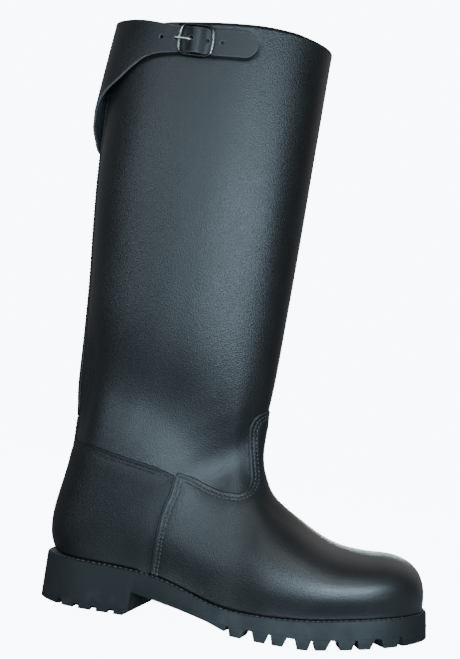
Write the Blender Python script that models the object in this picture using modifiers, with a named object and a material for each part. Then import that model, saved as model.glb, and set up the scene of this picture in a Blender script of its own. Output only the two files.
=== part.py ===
"""Tall pull-on leather boot for the right foot, with a buckled strap round the top of the shaft.

The boot stands on its sole with the toe along +X, its outer side along -Y and +Z up.
All sizes and tables are in millimetres, in the boot's drawing frame: x runs from the back of the
heel to the toe, y = 0 is the plane through the heel, and z runs up from a line near the floor.
MM turns them into metres, and the last step puts the sole on z = 0 and the boot's box over the origin.
"""

import math

import bmesh
import bpy
import numpy as np
from mathutils import Matrix, Vector

MM = 0.001

# Leather and clearances
GAP = 0.3                    # clearance between neighbouring pieces
WALL = 2.2                   # leather of the upper
PANEL = 1.4                  # leather of vamp, counter and back strip
PANEL_GAP = 0.45             # from the upper to the panels over it
STRAP_THICKNESS = 2.0
STRAP_GAP = 0.9              # from the shaft to the strap where it lies on
SETBACK = 5.2                # from the sole's edge to the upper's outer face
SOLE_GAP = 0.9               # from the sole's top to upper and insole, so that their facets clear its hump
INSOLE_THICKNESS = 4.0
INSOLE_INSET = 11.0

# Sole
SOLE_LENGTH = 302.5
FLOOR = -1.5
SOLE_DRAFT = 0.6             # how far the sole's side leans in towards the floor
HEEL_LEAN = 0.4              # how far it leans out at the back of the heel
TOE_LEAN = 3.0               # and at the tip of the toe
HEEL_PROUD = 1.2             # how far the heel's sides stand out from the waist
HEEL_ROUND = (38.0, 2.1)     # length of the rounded heel end and its squareness
CALF_ROUND = 80.0            # length of the shaft's rounded back
CALF_HEIGHT = 300.0          # height where the heel's round has grown into it
TOE_ROUND = (54.0, 2.3)
TOE_CAP_ROUND = (40.0, 3.0)  # length and squareness of the toe in side view
HEEL_LENGTH = 75.0           # to the heel's breast on the outer side
BREAST_SLANT = 13.0          # how much further forward the breast is on the inner side
BREAST_HEIGHT = 17.0
BREAST_BEVEL = 4.0
TREAD_START = 140.0
TREAD_END = 210.0            # the tread leaves the floor here
TOE_SPRING = 14.4
SPRING_POWER = 1.2
CUT_EXTRA = 4.0              # how far a cutter runs past the face that it cuts

# Lugs
LUG_DEPTH = 7.2
LUG_PITCH = 16.4
FIRST_GAP = 152.6
GAP_COUNT = 9
LUG_INSET = 20.0             # from the sole's edge to the middle channel
NARROW_GAP = (5.4, 1.8)      # width of a gap between lugs at the floor and at its root
WIDE_GAP = (11.0, 5.6)
CENTRE_LUG = (24.0, 9.0)     # span of a cross-shaped lug and width of its arms
CENTRE_LUG_START = 166.0
CENTRE_LUG_PITCH = 25.0
CENTRE_LUG_COUNT = 5
HEEL_GAPS = (20.5, 34.0, 48.0, 61.7)
HEEL_GAP = (4.4, 3.4, 7.0)   # width, height and depth of a notch in the heel's edge

# Buckle
BUCKLE_PLACE = (95.0, 440.9)     # distance round from the back seam, and height
BUCKLE_X = 11.6              # half spacing of the two side bars
BUCKLE_HALF_HEIGHT = 11.6
BUCKLE_CORNER = 4.0
BUCKLE_BOW = 1.6             # outward bow of the side bars
WIRE = 1.15                  # radius of the buckle's wire
MIDDLE_BAR = 1.0             # radius of the bar that the strap runs over
MIDDLE_BAR_DROP = 1.0
PRONG_WIRE = 0.95
PRONG_HOLE = 2.2             # radius of the strap's hole round the prong
PRONG_TIP = 2.6              # how far the prong reaches past the side bar
HUMP_WIDTH = 5.5             # the strap's rise over the middle bar
BAR_HEIGHT = STRAP_GAP + STRAP_THICKNESS + 2 * GAP + WIRE       # side bars' axis above the shaft
STRAP_HUMP = BAR_HEIGHT - MIDDLE_BAR_DROP + MIDDLE_BAR + 3 * GAP - STRAP_GAP

# Panels and strap
BACK_TAB = (8.5, 142.0)      # half width and top of the tab on the counter
STRIP_TOP = 400.0
STRAP_TIP = 9.5              # length of the strap's rounded end
TIP_BLUNT = 0.15             # half width left at its very end
FLARE = 8.2                  # how far the flap's lower corner stands off the shaft
FLARE_HEIGHTS = (352.0, 374.0, 452.0)        # the flap's curled edge, full flare and none
CURL = 0.5                   # share of the flare that is left at the curled edge
FLARE_ROUND = (-50.0, -14.0, 22.0, 78.0)     # where the flare grows and fades round the shaft
RIM_FADE = (395.0, 452.0)    # heights between which the rim's wave sets in

# Fineness of the faceted solids
ROUND_STEPS = 26
CROWDING = 0.2               # how much closer the facets lie at the sole's edge than on the ridge
HALF_SAMPLES = 40
TOE_SECTION_COUNT = 7
SOLE_STATIONS = 37
INSOLE_STATIONS = 21
STRAP_STEPS = 25
STRAP_ROWS = 5
SIDE_REACH = 90.0            # half depth of a cutter drawn in side view
BEHIND = -30.0
AHEAD = 330.0

# Sole outline: half widths each side of the centre line, before the ends are rounded
PLAN_COLUMNS = ("x", "lateral", "medial", "centre")
PLAN = (
    (0.0, 37.0, 36.0, 0.0),
    (40.0, 38.5, 37.5, 0.0),
    (74.0, 38.0, 36.0, 0.0),
    (108.0, 39.0, 32.5, 0.0),
    (147.0, 47.5, 40.0, 0.0),
    (185.0, 54.8, 50.0, 0.0),
    (212.0, 55.5, 53.5, 0.3),
    (242.0, 51.8, 53.0, 1.2),
    (272.0, 46.5, 50.0, 2.6),
    (302.5, 41.0, 46.0, 4.0),
)

# Side view of the sole's top edge, where the upper meets it
SEAM_COLUMNS = ("x", "z")
SEAM = (
    (0.0, 34.0),
    (30.0, 34.6),
    (53.0, 34.2),
    (71.0, 33.4),
    (86.0, 31.8),
    (104.0, 28.0),
    (121.0, 22.9),
    (137.0, 18.6),
    (155.0, 16.6),
    (174.0, 17.1),
    (205.0, 19.4),
    (239.0, 24.0),
    (270.0, 28.8),
    (302.5, 32.6),
)

# Side view of the waist's underside, from the breast to the first lug
WAIST_COLUMNS = ("x", "z")
WAIST = (
    (122.0, 5.6),
    (137.0, 1.2),
)

# Upright sections of the foot, toe to instep
FOOT_COLUMNS = ("x", "ridge_z", "widest", "crown", "bulge")
FOOT = (
    (297.0, 69.8, 0.42, 2.5, 2.5),
    (270.0, 69.8, 0.42, 2.5, 3.0),
    (251.0, 68.9, 0.40, 2.4, 3.6),
    (236.0, 69.7, 0.38, 2.3, 4.0),
    (224.0, 72.0, 0.36, 2.2, 4.0),
    (209.0, 78.0, 0.33, 2.1, 3.8),
    (194.0, 86.4, 0.30, 2.0, 3.4),
    (180.0, 94.6, 0.28, 1.9, 3.2),
    (170.0, 102.0, 0.27, 1.85, 3.0),
)

# Sections that fan round the instep, from the sole's edge up to the front of the ankle
FAN_COLUMNS = ("base_x", "front_x", "front_z", "lateral", "medial", "widest", "crown")
FAN = (
    (148.0, 162.7, 114.4, 43.0, 37.0, 0.27, 1.85),
    (123.0, 158.4, 126.8, 39.5, 33.5, 0.27, 1.85),
    (98.0, 157.0, 136.0, 37.4, 32.8, 0.28, 1.90),
    (73.0, 156.8, 143.5, 36.8, 34.2, 0.30, 1.90),
    (50.0, 156.9, 149.5, 36.5, 35.2, 0.33, 1.95),
    (33.0, 157.1, 154.5, 36.5, 35.8, 0.37, 1.95),
    (19.0, 157.3, 158.5, 36.6, 36.2, 0.41, 2.00),
    (10.5, 157.4, 161.8, 36.8, 36.6, 0.44, 2.00),
    (6.8, 157.5, 164.3, 37.0, 36.9, 0.455, 2.02),
)

# Closed sections from the heel's back up to the rim
SHAFT_COLUMNS = ("back_x", "back_z", "front_x", "front_z", "half", "widest", "crown")
SHAFT = (
    (5.2, 34.97, 157.6, 166.6, 37.2, 0.465, 2.05),
    (2.6, 44.0, 157.8, 169.0, 37.5, 0.47, 2.06),
    (1.2, 53.0, 158.0, 172.0, 37.8, 0.475, 2.07),
    (1.0, 61.0, 158.3, 175.5, 38.1, 0.48, 2.08),
    (1.8, 70.0, 158.6, 179.0, 38.4, 0.485, 2.09),
    (3.4, 80.0, 158.9, 183.5, 38.7, 0.49, 2.10),
    (5.6, 93.0, 159.3, 189.5, 39.0, 0.49, 2.11),
    (7.6, 107.0, 159.6, 196.0, 39.4, 0.495, 2.12),
    (8.6, 121.0, 159.9, 203.0, 39.8, 0.50, 2.14),
    (8.4, 136.0, 160.2, 211.0, 40.3, 0.50, 2.16),
    (7.6, 149.0, 160.4, 219.5, 40.9, 0.50, 2.18),
    (5.4, 163.0, 160.7, 229.0, 41.6, 0.50, 2.20),
    (3.9, 202.0, 161.4, 255.0, 43.3, 0.50, 2.23),
    (1.9, 246.0, 162.1, 283.0, 45.2, 0.50, 2.26),
    (-2.0, 295.0, 162.9, 317.0, 47.2, 0.50, 2.29),
    (-4.8, 345.0, 163.6, 357.0, 49.2, 0.50, 2.30),
    (-5.4, 395.0, 164.5, 401.0, 50.3, 0.50, 2.30),
    (-5.5, 430.0, 165.1, 433.0, 50.8, 0.50, 2.30),
    (-5.4, 455.0, 165.6, 455.0, 51.0, 0.50, 2.30),
)

# How far the rim's cut edge waves above and below its plane
RIM_COLUMNS = ("x", "rise")
RIM = (
    (-5.5, 0.4),
    (4.0, -1.6),
    (24.0, -2.6),
    (54.0, 0.0),
    (94.0, 3.6),
    (118.0, 4.7),
    (136.0, 4.3),
    (150.0, 2.5),
    (165.6, 0.0),
)

# Edges of the panels in side view
VAMP_SEAM = ((87.4, 20.0), (87.4, 49.0), (88.6, 72.0), (90.6, 85.0), (94.0, 97.4), (95.6, 113.0))
VAMP_TOP = ((95.6, 113.0), (107.6, 111.0), (121.3, 106.1), (134.5, 103.5), (144.6, 103.6))
SHIN_TAB = ((144.6, 103.6), (150.6, 107.2), (152.3, 113.2), (149.8, 125.5), (146.0, 144.3),
            (145.4, 153.4), (147.4, 160.8), (152.0, 166.3), (159.3, 169.5))
COUNTER_TOP = ((9.0, 124.0), (28.0, 123.0), (49.5, 119.6), (67.6, 116.8), (81.0, 114.4), (94.8, 110.0))

# Rungs across the strap, from the flap's sewn end to the buckled end: distance round from the back
# seam and height, at the lower and at the upper end of the rung
STRAP_COLUMNS = ("low_round", "low_z", "high_round", "high_z")
STRAP = (
    (-52.0, 372.0, -52.0, 454.6),
    (-42.0, 366.0, -42.0, 454.6),
    (-31.0, 359.0, -32.0, 454.6),
    (-21.0, 354.0, -23.0, 454.6),
    (-12.0, 352.5, -14.5, 454.6),
    (-5.5, 357.0, -6.0, 454.6),
    (-2.5, 367.0, 3.0, 454.6),
    (1.0, 377.5, 11.0, 454.6),
    (7.0, 385.0, 19.0, 454.6),
    (16.0, 391.5, 27.0, 454.6),
    (24.0, 398.0, 33.0, 454.6),
    (35.0, 406.5, 42.0, 454.5),
    (47.0, 418.0, 51.0, 454.1),
    (56.0, 425.0, 58.0, 453.4),
    (67.0, 428.8, 68.0, 452.2),
    (82.0, 430.6, 82.0, 451.0),
    (95.0, 431.2, 95.0, 450.6),
    (108.0, 431.4, 108.0, 450.9),
    (120.0, 432.0, 120.0, 451.8),
    (132.0, 432.8, 132.0, 452.6),
)
FLAP_ROWS = 12               # rows of the table before the strap narrows


def column(table, names, name):
    """One named column of a table."""
    return [row[names.index(name)] for row in table]


def through(knots, values):
    """Smooth curve through the given values that never overshoots between two of them."""
    x = np.array(knots, float)
    y = np.array(values, float)
    if x[0] > x[-1]:
        x, y = x[::-1], y[::-1]
    step = np.diff(x)
    slope = np.diff(y) / step
    tangent = np.zeros(len(x))
    tangent[0], tangent[-1] = slope[0], slope[-1]
    for i in range(1, len(x) - 1):
        if slope[i - 1] * slope[i] > 0.0:
            near, far = 2 * step[i] + step[i - 1], step[i] + 2 * step[i - 1]
            tangent[i] = (near + far) / (near / slope[i - 1] + far / slope[i])

    def at(value):
        value = min(max(value, x[0]), x[-1])
        i = min(max(int(np.searchsorted(x, value)) - 1, 0), len(x) - 2)
        t = (value - x[i]) / step[i]
        keep, take = (1 + 2 * t) * (1 - t) ** 2, t * t * (3 - 2 * t)
        lift, drop = t * (1 - t) ** 2, t * t * (t - 1)
        return keep * y[i] + take * y[i + 1] + step[i] * (lift * tangent[i] + drop * tangent[i + 1])

    return at


def table_curves(table, names):
    """A smooth curve over a table's first column for each of its other columns."""
    knots = column(table, names, names[0])
    return {name: through(knots, column(table, names, name)) for name in names[1:]}


def smoothstep(start, end, value):
    t = min(max((value - start) / (end - start), 0.0), 1.0)
    return t * t * (3 - 2 * t)


def round_end(distance, length, squareness):
    """1 well inside a rounded end, falling to 0 at its tip."""
    reach = min(max(distance / length, 0.0), 1.0)
    return (1 - (1 - reach) ** squareness) ** (1 / squareness)


PLAN_AT = table_curves(PLAN, PLAN_COLUMNS)
SEAM_Z = table_curves(SEAM, SEAM_COLUMNS)["z"]
FOOT_AT = table_curves(FOOT, FOOT_COLUMNS)
RIM_RISE = table_curves(RIM, RIM_COLUMNS)["rise"]


def toe_half(x, side, inset):
    """Half width of the sole's outline with its toe rounded, moved in by inset."""
    length, squareness = TOE_ROUND
    toe = round_end(SOLE_LENGTH - inset - x, length - inset, squareness)
    return (PLAN_AT[side](x) - inset) * toe


def plan_half(x, side, inset):
    """Half width of the sole's outline with both ends rounded, moved in by inset."""
    length, squareness = HEEL_ROUND
    return toe_half(x, side, inset) * round_end(x - inset, length - inset, squareness)


def plan_edges(x, inset):
    """y of the outline's lateral and medial edge."""
    centre = PLAN_AT["centre"](x)
    return centre - plan_half(x, "lateral", inset), centre + plan_half(x, "medial", inset)


def tread_z(x):
    """Underside of the lugs: flat under heel and ball, rising to the toe."""
    rise = max(x - TREAD_END, 0.0) / (SOLE_LENGTH - TREAD_END)
    return FLOOR + TOE_SPRING * rise ** SPRING_POWER


def foot_section(x, toe_height=1.0):
    """Upright section of the foot; toe_height lowers the ridge towards the toe's tip."""
    bottom = SEAM_Z(x) + SOLE_GAP
    base = {side: toe_half(x, side, SETBACK) for side in ("lateral", "medial")}
    swell = {side: 1 + FOOT_AT["bulge"](x) / (PLAN_AT[side](x) - SETBACK) for side in base}
    return {
        "base_x": x, "base_z": bottom,
        "front_x": x, "front_z": bottom + (FOOT_AT["ridge_z"](x) - bottom) * toe_height,
        "lateral": base["lateral"] * swell["lateral"], "medial": base["medial"] * swell["medial"],
        "base_lateral": base["lateral"], "base_medial": base["medial"],
        "widest": FOOT_AT["widest"](x), "crown": FOOT_AT["crown"](x),
        "centre": PLAN_AT["centre"](x),
    }


def toe_sections(count):
    """Sections of the rounded toe, evenly spaced round its side view, tip first."""
    length, squareness = TOE_CAP_ROUND
    turn = np.linspace(0.0, math.pi / 2, 200)
    along = 1 - np.cos(turn) ** (2 / squareness)
    height = np.sin(turn) ** (2 / squareness)
    travel = np.concatenate(([0.0], np.cumsum(np.hypot(np.diff(along), np.diff(height)))))
    tip = SOLE_LENGTH - SETBACK
    sections = []
    for share in np.linspace(0.0, travel[-1], count):
        back = np.interp(share, travel, along) * length
        sections.append(foot_section(tip - back, np.interp(share, travel, height)))
    return sections


def instep_sections():
    """Sections of the table that lie behind the rounded toe."""
    behind_toe = SOLE_LENGTH - SETBACK - TOE_CAP_ROUND[0] - 1.0
    return [foot_section(x) for x in column(FOOT, FOOT_COLUMNS, "x") if x < behind_toe]


def fan_section(row):
    section = dict(zip(FAN_COLUMNS, row))
    base_x = section["base_x"]
    section["base_z"] = SEAM_Z(base_x) + SOLE_GAP
    section["base_lateral"] = toe_half(base_x, "lateral", SETBACK)
    section["base_medial"] = toe_half(base_x, "medial", SETBACK)
    section["centre"] = 0.0
    return section


def shaft_section(row):
    section = dict(zip(SHAFT_COLUMNS, row))
    section.update(base_x=section["back_x"], base_z=section["back_z"], centre=0.0)
    half = section["half"]
    risen = smoothstep(SEAM_Z(0.0), CALF_HEIGHT / 2, section["back_z"])
    for side in ("lateral", "medial"):
        heel = toe_half(SETBACK, side, SETBACK)
        section.update({side: half, "base_" + side: heel + (half - heel) * risen})
    return section


def back_profile():
    """x of the upper's back over its height, from the sole to the rim."""
    heights = [SEAM_Z(SETBACK)] + column(SHAFT, SHAFT_COLUMNS, "back_z")
    return through(heights, [SETBACK] + column(SHAFT, SHAFT_COLUMNS, "back_x"))


BACK_X = back_profile()


def back_round(x, z):
    """Share of the full width that the rounded heel and calf leave at a place in side view."""
    heel_length, squareness = HEEL_ROUND
    grown = smoothstep(SEAM_Z(0.0), CALF_HEIGHT, z)
    length = heel_length - SETBACK + (CALF_ROUND - heel_length + SETBACK) * grown
    return round_end(x - BACK_X(z), length, squareness)


FOOT_SECTIONS = toe_sections(TOE_SECTION_COUNT) + instep_sections() + [fan_section(row) for row in FAN]
SECTIONS = FOOT_SECTIONS + [shaft_section(row) for row in SHAFT]
MIDDLES = np.array([((s["base_x"] + s["front_x"]) / 2, (s["base_z"] + s["front_z"]) / 2) for s in SECTIONS])
STATIONS = np.concatenate(([0.0], np.cumsum(np.hypot(*np.diff(MIDDLES, axis=0).T))))
CLOSED_FROM = STATIONS[len(FOOT_SECTIONS)]
SECTION_AT = {name: through(STATIONS, [s[name] for s in SECTIONS]) for name in FOOT_SECTIONS[0]}


def half_outline(v, side):
    """Points of one half of the section at station v, from its ridge down to its base or back."""
    at = {name: curve(v) for name, curve in SECTION_AT.items()}
    name = "lateral" if side < 0 else "medial"
    width, base_width = at[name], at["base_" + name]
    base = np.array((at["base_x"], at["base_z"]))
    front = np.array((at["front_x"], at["front_z"]))
    turn = np.linspace(0.0, math.pi / 2, HALF_SAMPLES)
    cosine, sine = np.maximum(np.cos(turn), 0.0), np.sin(turn)
    crown_height = at["widest"] + (1 - at["widest"]) * cosine ** (2 / at["crown"])
    crown_width = width * sine ** (2 / at["crown"])
    rise = 1 - sine
    lower_height = at["widest"] * rise
    lower_width = base_width + (width - base_width) * rise * rise * (3 - 2 * rise)
    height = np.concatenate((crown_height, lower_height[1:]))
    place = base + height[:, None] * (front - base)
    reach = np.concatenate((crown_width, lower_width[1:]))
    reach *= [back_round(x, z) for x, z in place]
    return np.column_stack((place[:, 0], at["centre"] + side * reach, place[:, 1]))


def travel_along(points):
    """Distance of each point from the first, along the line through them."""
    return np.concatenate(([0.0], np.cumsum(np.linalg.norm(np.diff(points, axis=0), axis=1))))


def half_length(v, side):
    return travel_along(half_outline(v, side))[-1]


def upper_point(u, v):
    """Outer face of the upper: u is -1 at the lateral base, 0 on the ridge, 1 at the medial base."""
    points = half_outline(v, -1 if u < 0 else 1)
    travel = travel_along(points)
    share = min(abs(u), 1.0) * travel[-1]
    point = np.array([np.interp(share, travel, points[:, i]) for i in range(3)])
    point[2] += RIM_RISE(point[0]) * smoothstep(*RIM_FADE, point[2])
    return point


def upper_normal(u, v):
    """Outward direction of the upper's face."""
    across, along = 0.02, 1.5
    v = max(v, along)
    low_v, high_v = v - along, min(v + along, STATIONS[-1])
    low_u, high_u = max(u - across, -1.0), min(u + across, 1.0)
    round_step = upper_point(high_u, v) - upper_point(low_u, v)
    if v > CLOSED_FROM and abs(u) > 1.0 - across:
        round_step = upper_point(-1.0 + across, v) - upper_point(1.0 - across, v)
    up_step = upper_point(u, high_v) - upper_point(u, low_v)
    normal = np.cross(round_step, up_step)
    return normal / np.linalg.norm(normal)


def round_to_u(distance, v):
    """u at a distance round the shaft from the back seam, positive on the lateral side."""
    side = -1 if distance > 0 else 1
    return side * (1 - abs(distance) / half_length(v, side))


def station_at(distance, z):
    """Station of the shaft whose face is at height z, at a distance round from the back seam."""
    low, high = CLOSED_FROM, STATIONS[-1]
    for _ in range(24):
        middle = (low + high) / 2
        if upper_point(round_to_u(distance, middle), middle)[2] < z:
            low = middle
        else:
            high = middle
    return (low + high) / 2


def shaft_point(distance, z, off):
    """Point at a distance off the shaft's face, and the outward direction there."""
    v = station_at(distance, z)
    u = round_to_u(distance, v)
    normal = upper_normal(u, v)
    return upper_point(u, v) + off * normal, normal


def clear_scene():
    for thing in list(bpy.data.objects):
        bpy.data.objects.remove(thing, do_unlink=True)


def make_collection(name):
    collection = bpy.data.collections.new(name)
    bpy.context.scene.collection.children.link(collection)
    return collection


def make_material(name, colour, roughness, metallic):
    material = bpy.data.materials.new(name)
    material.use_nodes = True
    shader = material.node_tree.nodes["Principled BSDF"]
    shader.inputs["Base Color"].default_value = (*colour, 1.0)
    shader.inputs["Roughness"].default_value = roughness
    shader.inputs["Metallic"].default_value = metallic
    return material


def mesh_object(name, bm, collection, material=None):
    mesh = bpy.data.meshes.new(name)
    bm.to_mesh(mesh)
    bm.free()
    thing = bpy.data.objects.new(name, mesh)
    collection.objects.link(thing)
    if material:
        mesh.materials.append(material)
    return thing


def make_cutter(thing):
    thing.hide_render = True
    thing.display_type = "WIRE"
    return thing


def cut(thing, tool, operation):
    modifier = thing.modifiers.new(f"{operation.lower()} {tool.name}", "BOOLEAN")
    modifier.object = tool
    modifier.operation = operation
    modifier.solver = "EXACT"


def close_up(bm):
    """Merge the points that meet where a form runs to a tip, and turn all faces outwards."""
    bmesh.ops.remove_doubles(bm, verts=bm.verts, dist=0.02 * MM)
    bmesh.ops.dissolve_degenerate(bm, edges=bm.edges, dist=0.001 * MM)
    return bm


def grid_surface(points):
    """Open surface through a grid of points in millimetres, each square split at its shorter diagonal."""
    bm = bmesh.new()
    grid = [[bm.verts.new(Vector(point) * MM) for point in row] for row in points]
    for row, following in zip(grid, grid[1:]):
        for i in range(len(row) - 1):
            near, right, far, left = row[i], row[i + 1], following[i + 1], following[i]
            if (near.co - far.co).length < (right.co - left.co).length:
                near, right, far, left = right, far, left, near
            bm.faces.new((near, right, left))
            bm.faces.new((right, far, left))
    return close_up(bm)


def tube(rings):
    """Closed body through rings of four points, with both ends filled."""
    bm = bmesh.new()
    rings = [[bm.verts.new(Vector(point) * MM) for point in ring] for ring in rings]
    for ring, following in zip(rings, rings[1:]):
        for i in range(4):
            j = (i + 1) % 4
            bm.faces.new((ring[i], ring[j], following[j], following[i]))
    bm.faces.new(rings[0])
    bm.faces.new(rings[-1])
    close_up(bm)
    bmesh.ops.recalc_face_normals(bm, faces=bm.faces)
    return bm


def thicken(thing, thickness, outward):
    modifier = thing.modifiers.new("wall", "SOLIDIFY")
    modifier.thickness = thickness * MM
    modifier.offset = 1.0 if outward else -1.0
    modifier.use_even_offset = True
    modifier.use_quality_normals = True


def extrude_up(bm, face, vector):
    """Pull a face out into a closed body."""
    moved = bmesh.ops.extrude_face_region(bm, geom=[face])["geom"]
    moved = [item for item in moved if isinstance(item, bmesh.types.BMVert)]
    bmesh.ops.translate(bm, verts=moved, vec=vector)
    return moved


def prism(name, outline, collection, shear=0.0):
    """Cutter with an outline in side view, moved forward by shear from its lateral to its medial end."""
    bm = bmesh.new()
    face = bm.faces.new([bm.verts.new(Vector((x, -SIDE_REACH, z)) * MM) for x, z in outline])
    extrude_up(bm, face, Vector((shear, 2 * SIDE_REACH, 0.0)) * MM)
    bmesh.ops.recalc_face_normals(bm, faces=bm.faces)
    return make_cutter(mesh_object(name, bm, collection))


def box(name, low, high, collection):
    bm = bmesh.new()
    bmesh.ops.create_cube(bm, size=MM)
    low, high = Vector(low), Vector(high)
    bmesh.ops.scale(bm, vec=high - low, verts=bm.verts)
    bmesh.ops.translate(bm, vec=(low + high) / 2 * MM, verts=bm.verts)
    return make_cutter(mesh_object(name, bm, collection))


def plan_stations(start, end, count):
    """Stations along the sole, closer together towards both ends."""
    turns = np.linspace(0.0, math.pi, count)
    return [start + (end - start) * (1 - math.cos(turn)) / 2 for turn in turns]


def slab(stations, inset, top, bottom):
    """Plate with the sole's outline between two heights that change along the boot."""
    rings = []
    for x in stations:
        lateral, medial = plan_edges(x, inset)
        high, low = top(x), bottom(x)
        rings.append([(x, lateral, high), (x, medial, high), (x, medial, low), (x, lateral, low)])
    return tube(rings)


def sole_body():
    """The sole before it is cut: its side leans in a little, and out at the heel's back and the toe."""
    rings = []
    for x in plan_stations(0.0, SOLE_LENGTH, SOLE_STATIONS):
        past_breast = smoothstep(HEEL_LENGTH - BREAST_BEVEL, HEEL_LENGTH + BREAST_BEVEL, x)
        proud = HEEL_PROUD * smoothstep(0.0, HEEL_ROUND[0], x) * (1 - past_breast)
        lateral, medial = plan_edges(x, 0.0)
        lateral, medial = lateral - proud, medial + proud
        low_x = x - HEEL_LEAN * (1 - smoothstep(0.0, HEEL_ROUND[0], x))
        low_x += TOE_LEAN * smoothstep(SOLE_LENGTH - TOE_ROUND[0], SOLE_LENGTH, x)
        draft = min(SOLE_DRAFT, (medial - lateral) / 2)
        top, bottom = SEAM_Z(x), tread_z(x)
        rings.append([(x, lateral, top), (x, medial, top),
                      (low_x, medial - draft, bottom), (low_x, lateral + draft, bottom)])
    return tube(rings)


def arch_outline(breast_x):
    """Side view of the hollow between the heel's breast and the first lug."""
    below = FLOOR - CUT_EXTRA
    breast = [(breast_x - BREAST_BEVEL, below), (breast_x - BREAST_BEVEL, FLOOR + GAP),
              (breast_x, FLOOR + BREAST_BEVEL), (breast_x, BREAST_HEIGHT)]
    return breast + list(WAIST) + [(TREAD_START, FLOOR), (TREAD_START, below)]


def add_notch(bm, place, direction, length, floor_width, root_width, low, high):
    """Wedge that runs inwards from the sole's edge, floor_width wide at low and root_width at high."""
    verts = bmesh.ops.create_cube(bm, size=1.0)["verts"]
    angle = math.atan2(direction[1], direction[0])
    for vert in verts:
        width = floor_width if vert.co.z < 0 else root_width
        vert.co = Vector((vert.co.x * length, vert.co.y * width, low if vert.co.z < 0 else high))
    turn = Matrix.Translation(Vector((place[0], place[1], 0.0))) @ Matrix.Rotation(angle, 4, "Z")
    bmesh.ops.transform(bm, matrix=turn, verts=verts)
    bmesh.ops.scale(bm, vec=(MM, MM, MM), verts=verts)


def edge_frame(x, side):
    """Point on the sole's edge, and the direction into the sole square to it."""
    index = 0 if side < 0 else 1
    before, edge, after = (plan_edges(x + step, 0.0)[index] for step in (-1.0, 0.0, 1.0))
    inward = np.array([side * (after - before) / 2.0, -side])
    return np.array([x, edge]), inward / np.linalg.norm(inward)


def lug_notches():
    """Gaps between the lugs round the forefoot, narrow and wide by turns, and the heel's notches."""
    bm = bmesh.new()
    for side in (-1, 1):
        for i in range(GAP_COUNT):
            x = FIRST_GAP + i * LUG_PITCH
            floor_width, root_width = WIDE_GAP if i % 2 else NARROW_GAP
            edge, inward = edge_frame(x, side)
            low, high = tread_z(x) - LUG_DEPTH, tread_z(x) + LUG_DEPTH
            add_notch(bm, edge + inward * LUG_INSET / 2, inward, LUG_INSET + CUT_EXTRA,
                      2 * floor_width - root_width, root_width, low, high)
        width, height, depth = HEEL_GAP
        for x in HEEL_GAPS:
            edge, inward = edge_frame(x, side)
            add_notch(bm, edge + inward * depth / 2, inward, depth + CUT_EXTRA,
                      width, width, FLOOR - height, FLOOR + height)
    return bm


def centre_lugs():
    """Cross-shaped lugs down the middle of the forefoot."""
    span, arm = CENTRE_LUG
    bm = bmesh.new()
    for i in range(CENTRE_LUG_COUNT):
        x = CENTRE_LUG_START + i * CENTRE_LUG_PITCH
        y = sum(plan_edges(x, 0.0)) / 2
        low = tread_z(x + span / 2)
        corners = []
        for quarter in range(4):
            turn = Matrix.Rotation(quarter * math.pi / 2, 2)
            for corner in ((span / 2, -arm / 2), (span / 2, arm / 2), (arm / 2, arm / 2)):
                corners.append(turn @ Vector(corner))
        face = bm.faces.new([bm.verts.new(Vector((x + c.x, y + c.y, low)) * MM) for c in corners])
        extrude_up(bm, face, Vector((0.0, 0.0, LUG_DEPTH + CUT_EXTRA)) * MM)
    bmesh.ops.recalc_face_normals(bm, faces=bm.faces)
    return bm


def build_outsole(parts, tools, rubber):
    outsole = mesh_object("outsole", sole_body(), parts, rubber)
    shear = BREAST_SLANT * SIDE_REACH / PLAN_AT["lateral"](HEEL_LENGTH)
    arch = prism("arch_cutter", arch_outline(HEEL_LENGTH - shear / 2 + BREAST_SLANT / 2), tools, shear)
    channel_x = np.linspace(TREAD_START + LUG_INSET / 2, SOLE_LENGTH - LUG_INSET - CUT_EXTRA, 9)
    channel = mesh_object("channel_cutter", slab(channel_x, LUG_INSET, lambda x: tread_z(x) + LUG_DEPTH,
                                                 lambda x: FLOOR - CUT_EXTRA), tools)
    notches = mesh_object("notch_cutter", lug_notches(), tools)
    crosses = mesh_object("centre_lug_tool", centre_lugs(), tools)
    for tool in (channel, notches, crosses):
        make_cutter(tool)
    for tool in (arch, channel, notches):
        cut(outsole, tool, "DIFFERENCE")
    cut(outsole, crosses, "UNION")
    return outsole


def build_insole(parts, lining):
    stations = plan_stations(INSOLE_INSET, SOLE_LENGTH - INSOLE_INSET, INSOLE_STATIONS)
    plate = slab(stations, INSOLE_INSET, lambda x: SEAM_Z(x) + SOLE_GAP + INSOLE_THICKNESS,
                 lambda x: SEAM_Z(x) + SOLE_GAP)
    return mesh_object("insole", plate, parts, lining)


def upper_face(name, parts, leather):
    """Outer face of the upper as an open surface."""
    steps = np.linspace(-1.0, 1.0, ROUND_STEPS + 1)
    turns = steps * (1 + CROWDING * (1 - steps ** 2))
    grid = [[upper_point(u, v) for u in turns] for v in STATIONS]
    return mesh_object(name, grid_surface(grid), parts, leather)


def build_upper(parts, leather):
    upper = upper_face("upper", parts, leather)
    thicken(upper, WALL, outward=False)
    return upper


def panel(name, tool, parts, leather):
    """Panel that a cutter leaves of a skin over the upper."""
    skin = upper_face(name, parts, leather)
    lift = skin.modifiers.new("clearance", "DISPLACE")
    lift.mid_level = 0.0
    lift.strength = PANEL_GAP * MM
    thicken(skin, PANEL, outward=True)
    cut(skin, tool, "INTERSECT")
    return skin


def seam_line(start, end, count):
    """Points just above the sole's top edge, in side view."""
    return [(x, SEAM_Z(x) + 2 * GAP) for x in np.linspace(start, end, count)]


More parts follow.
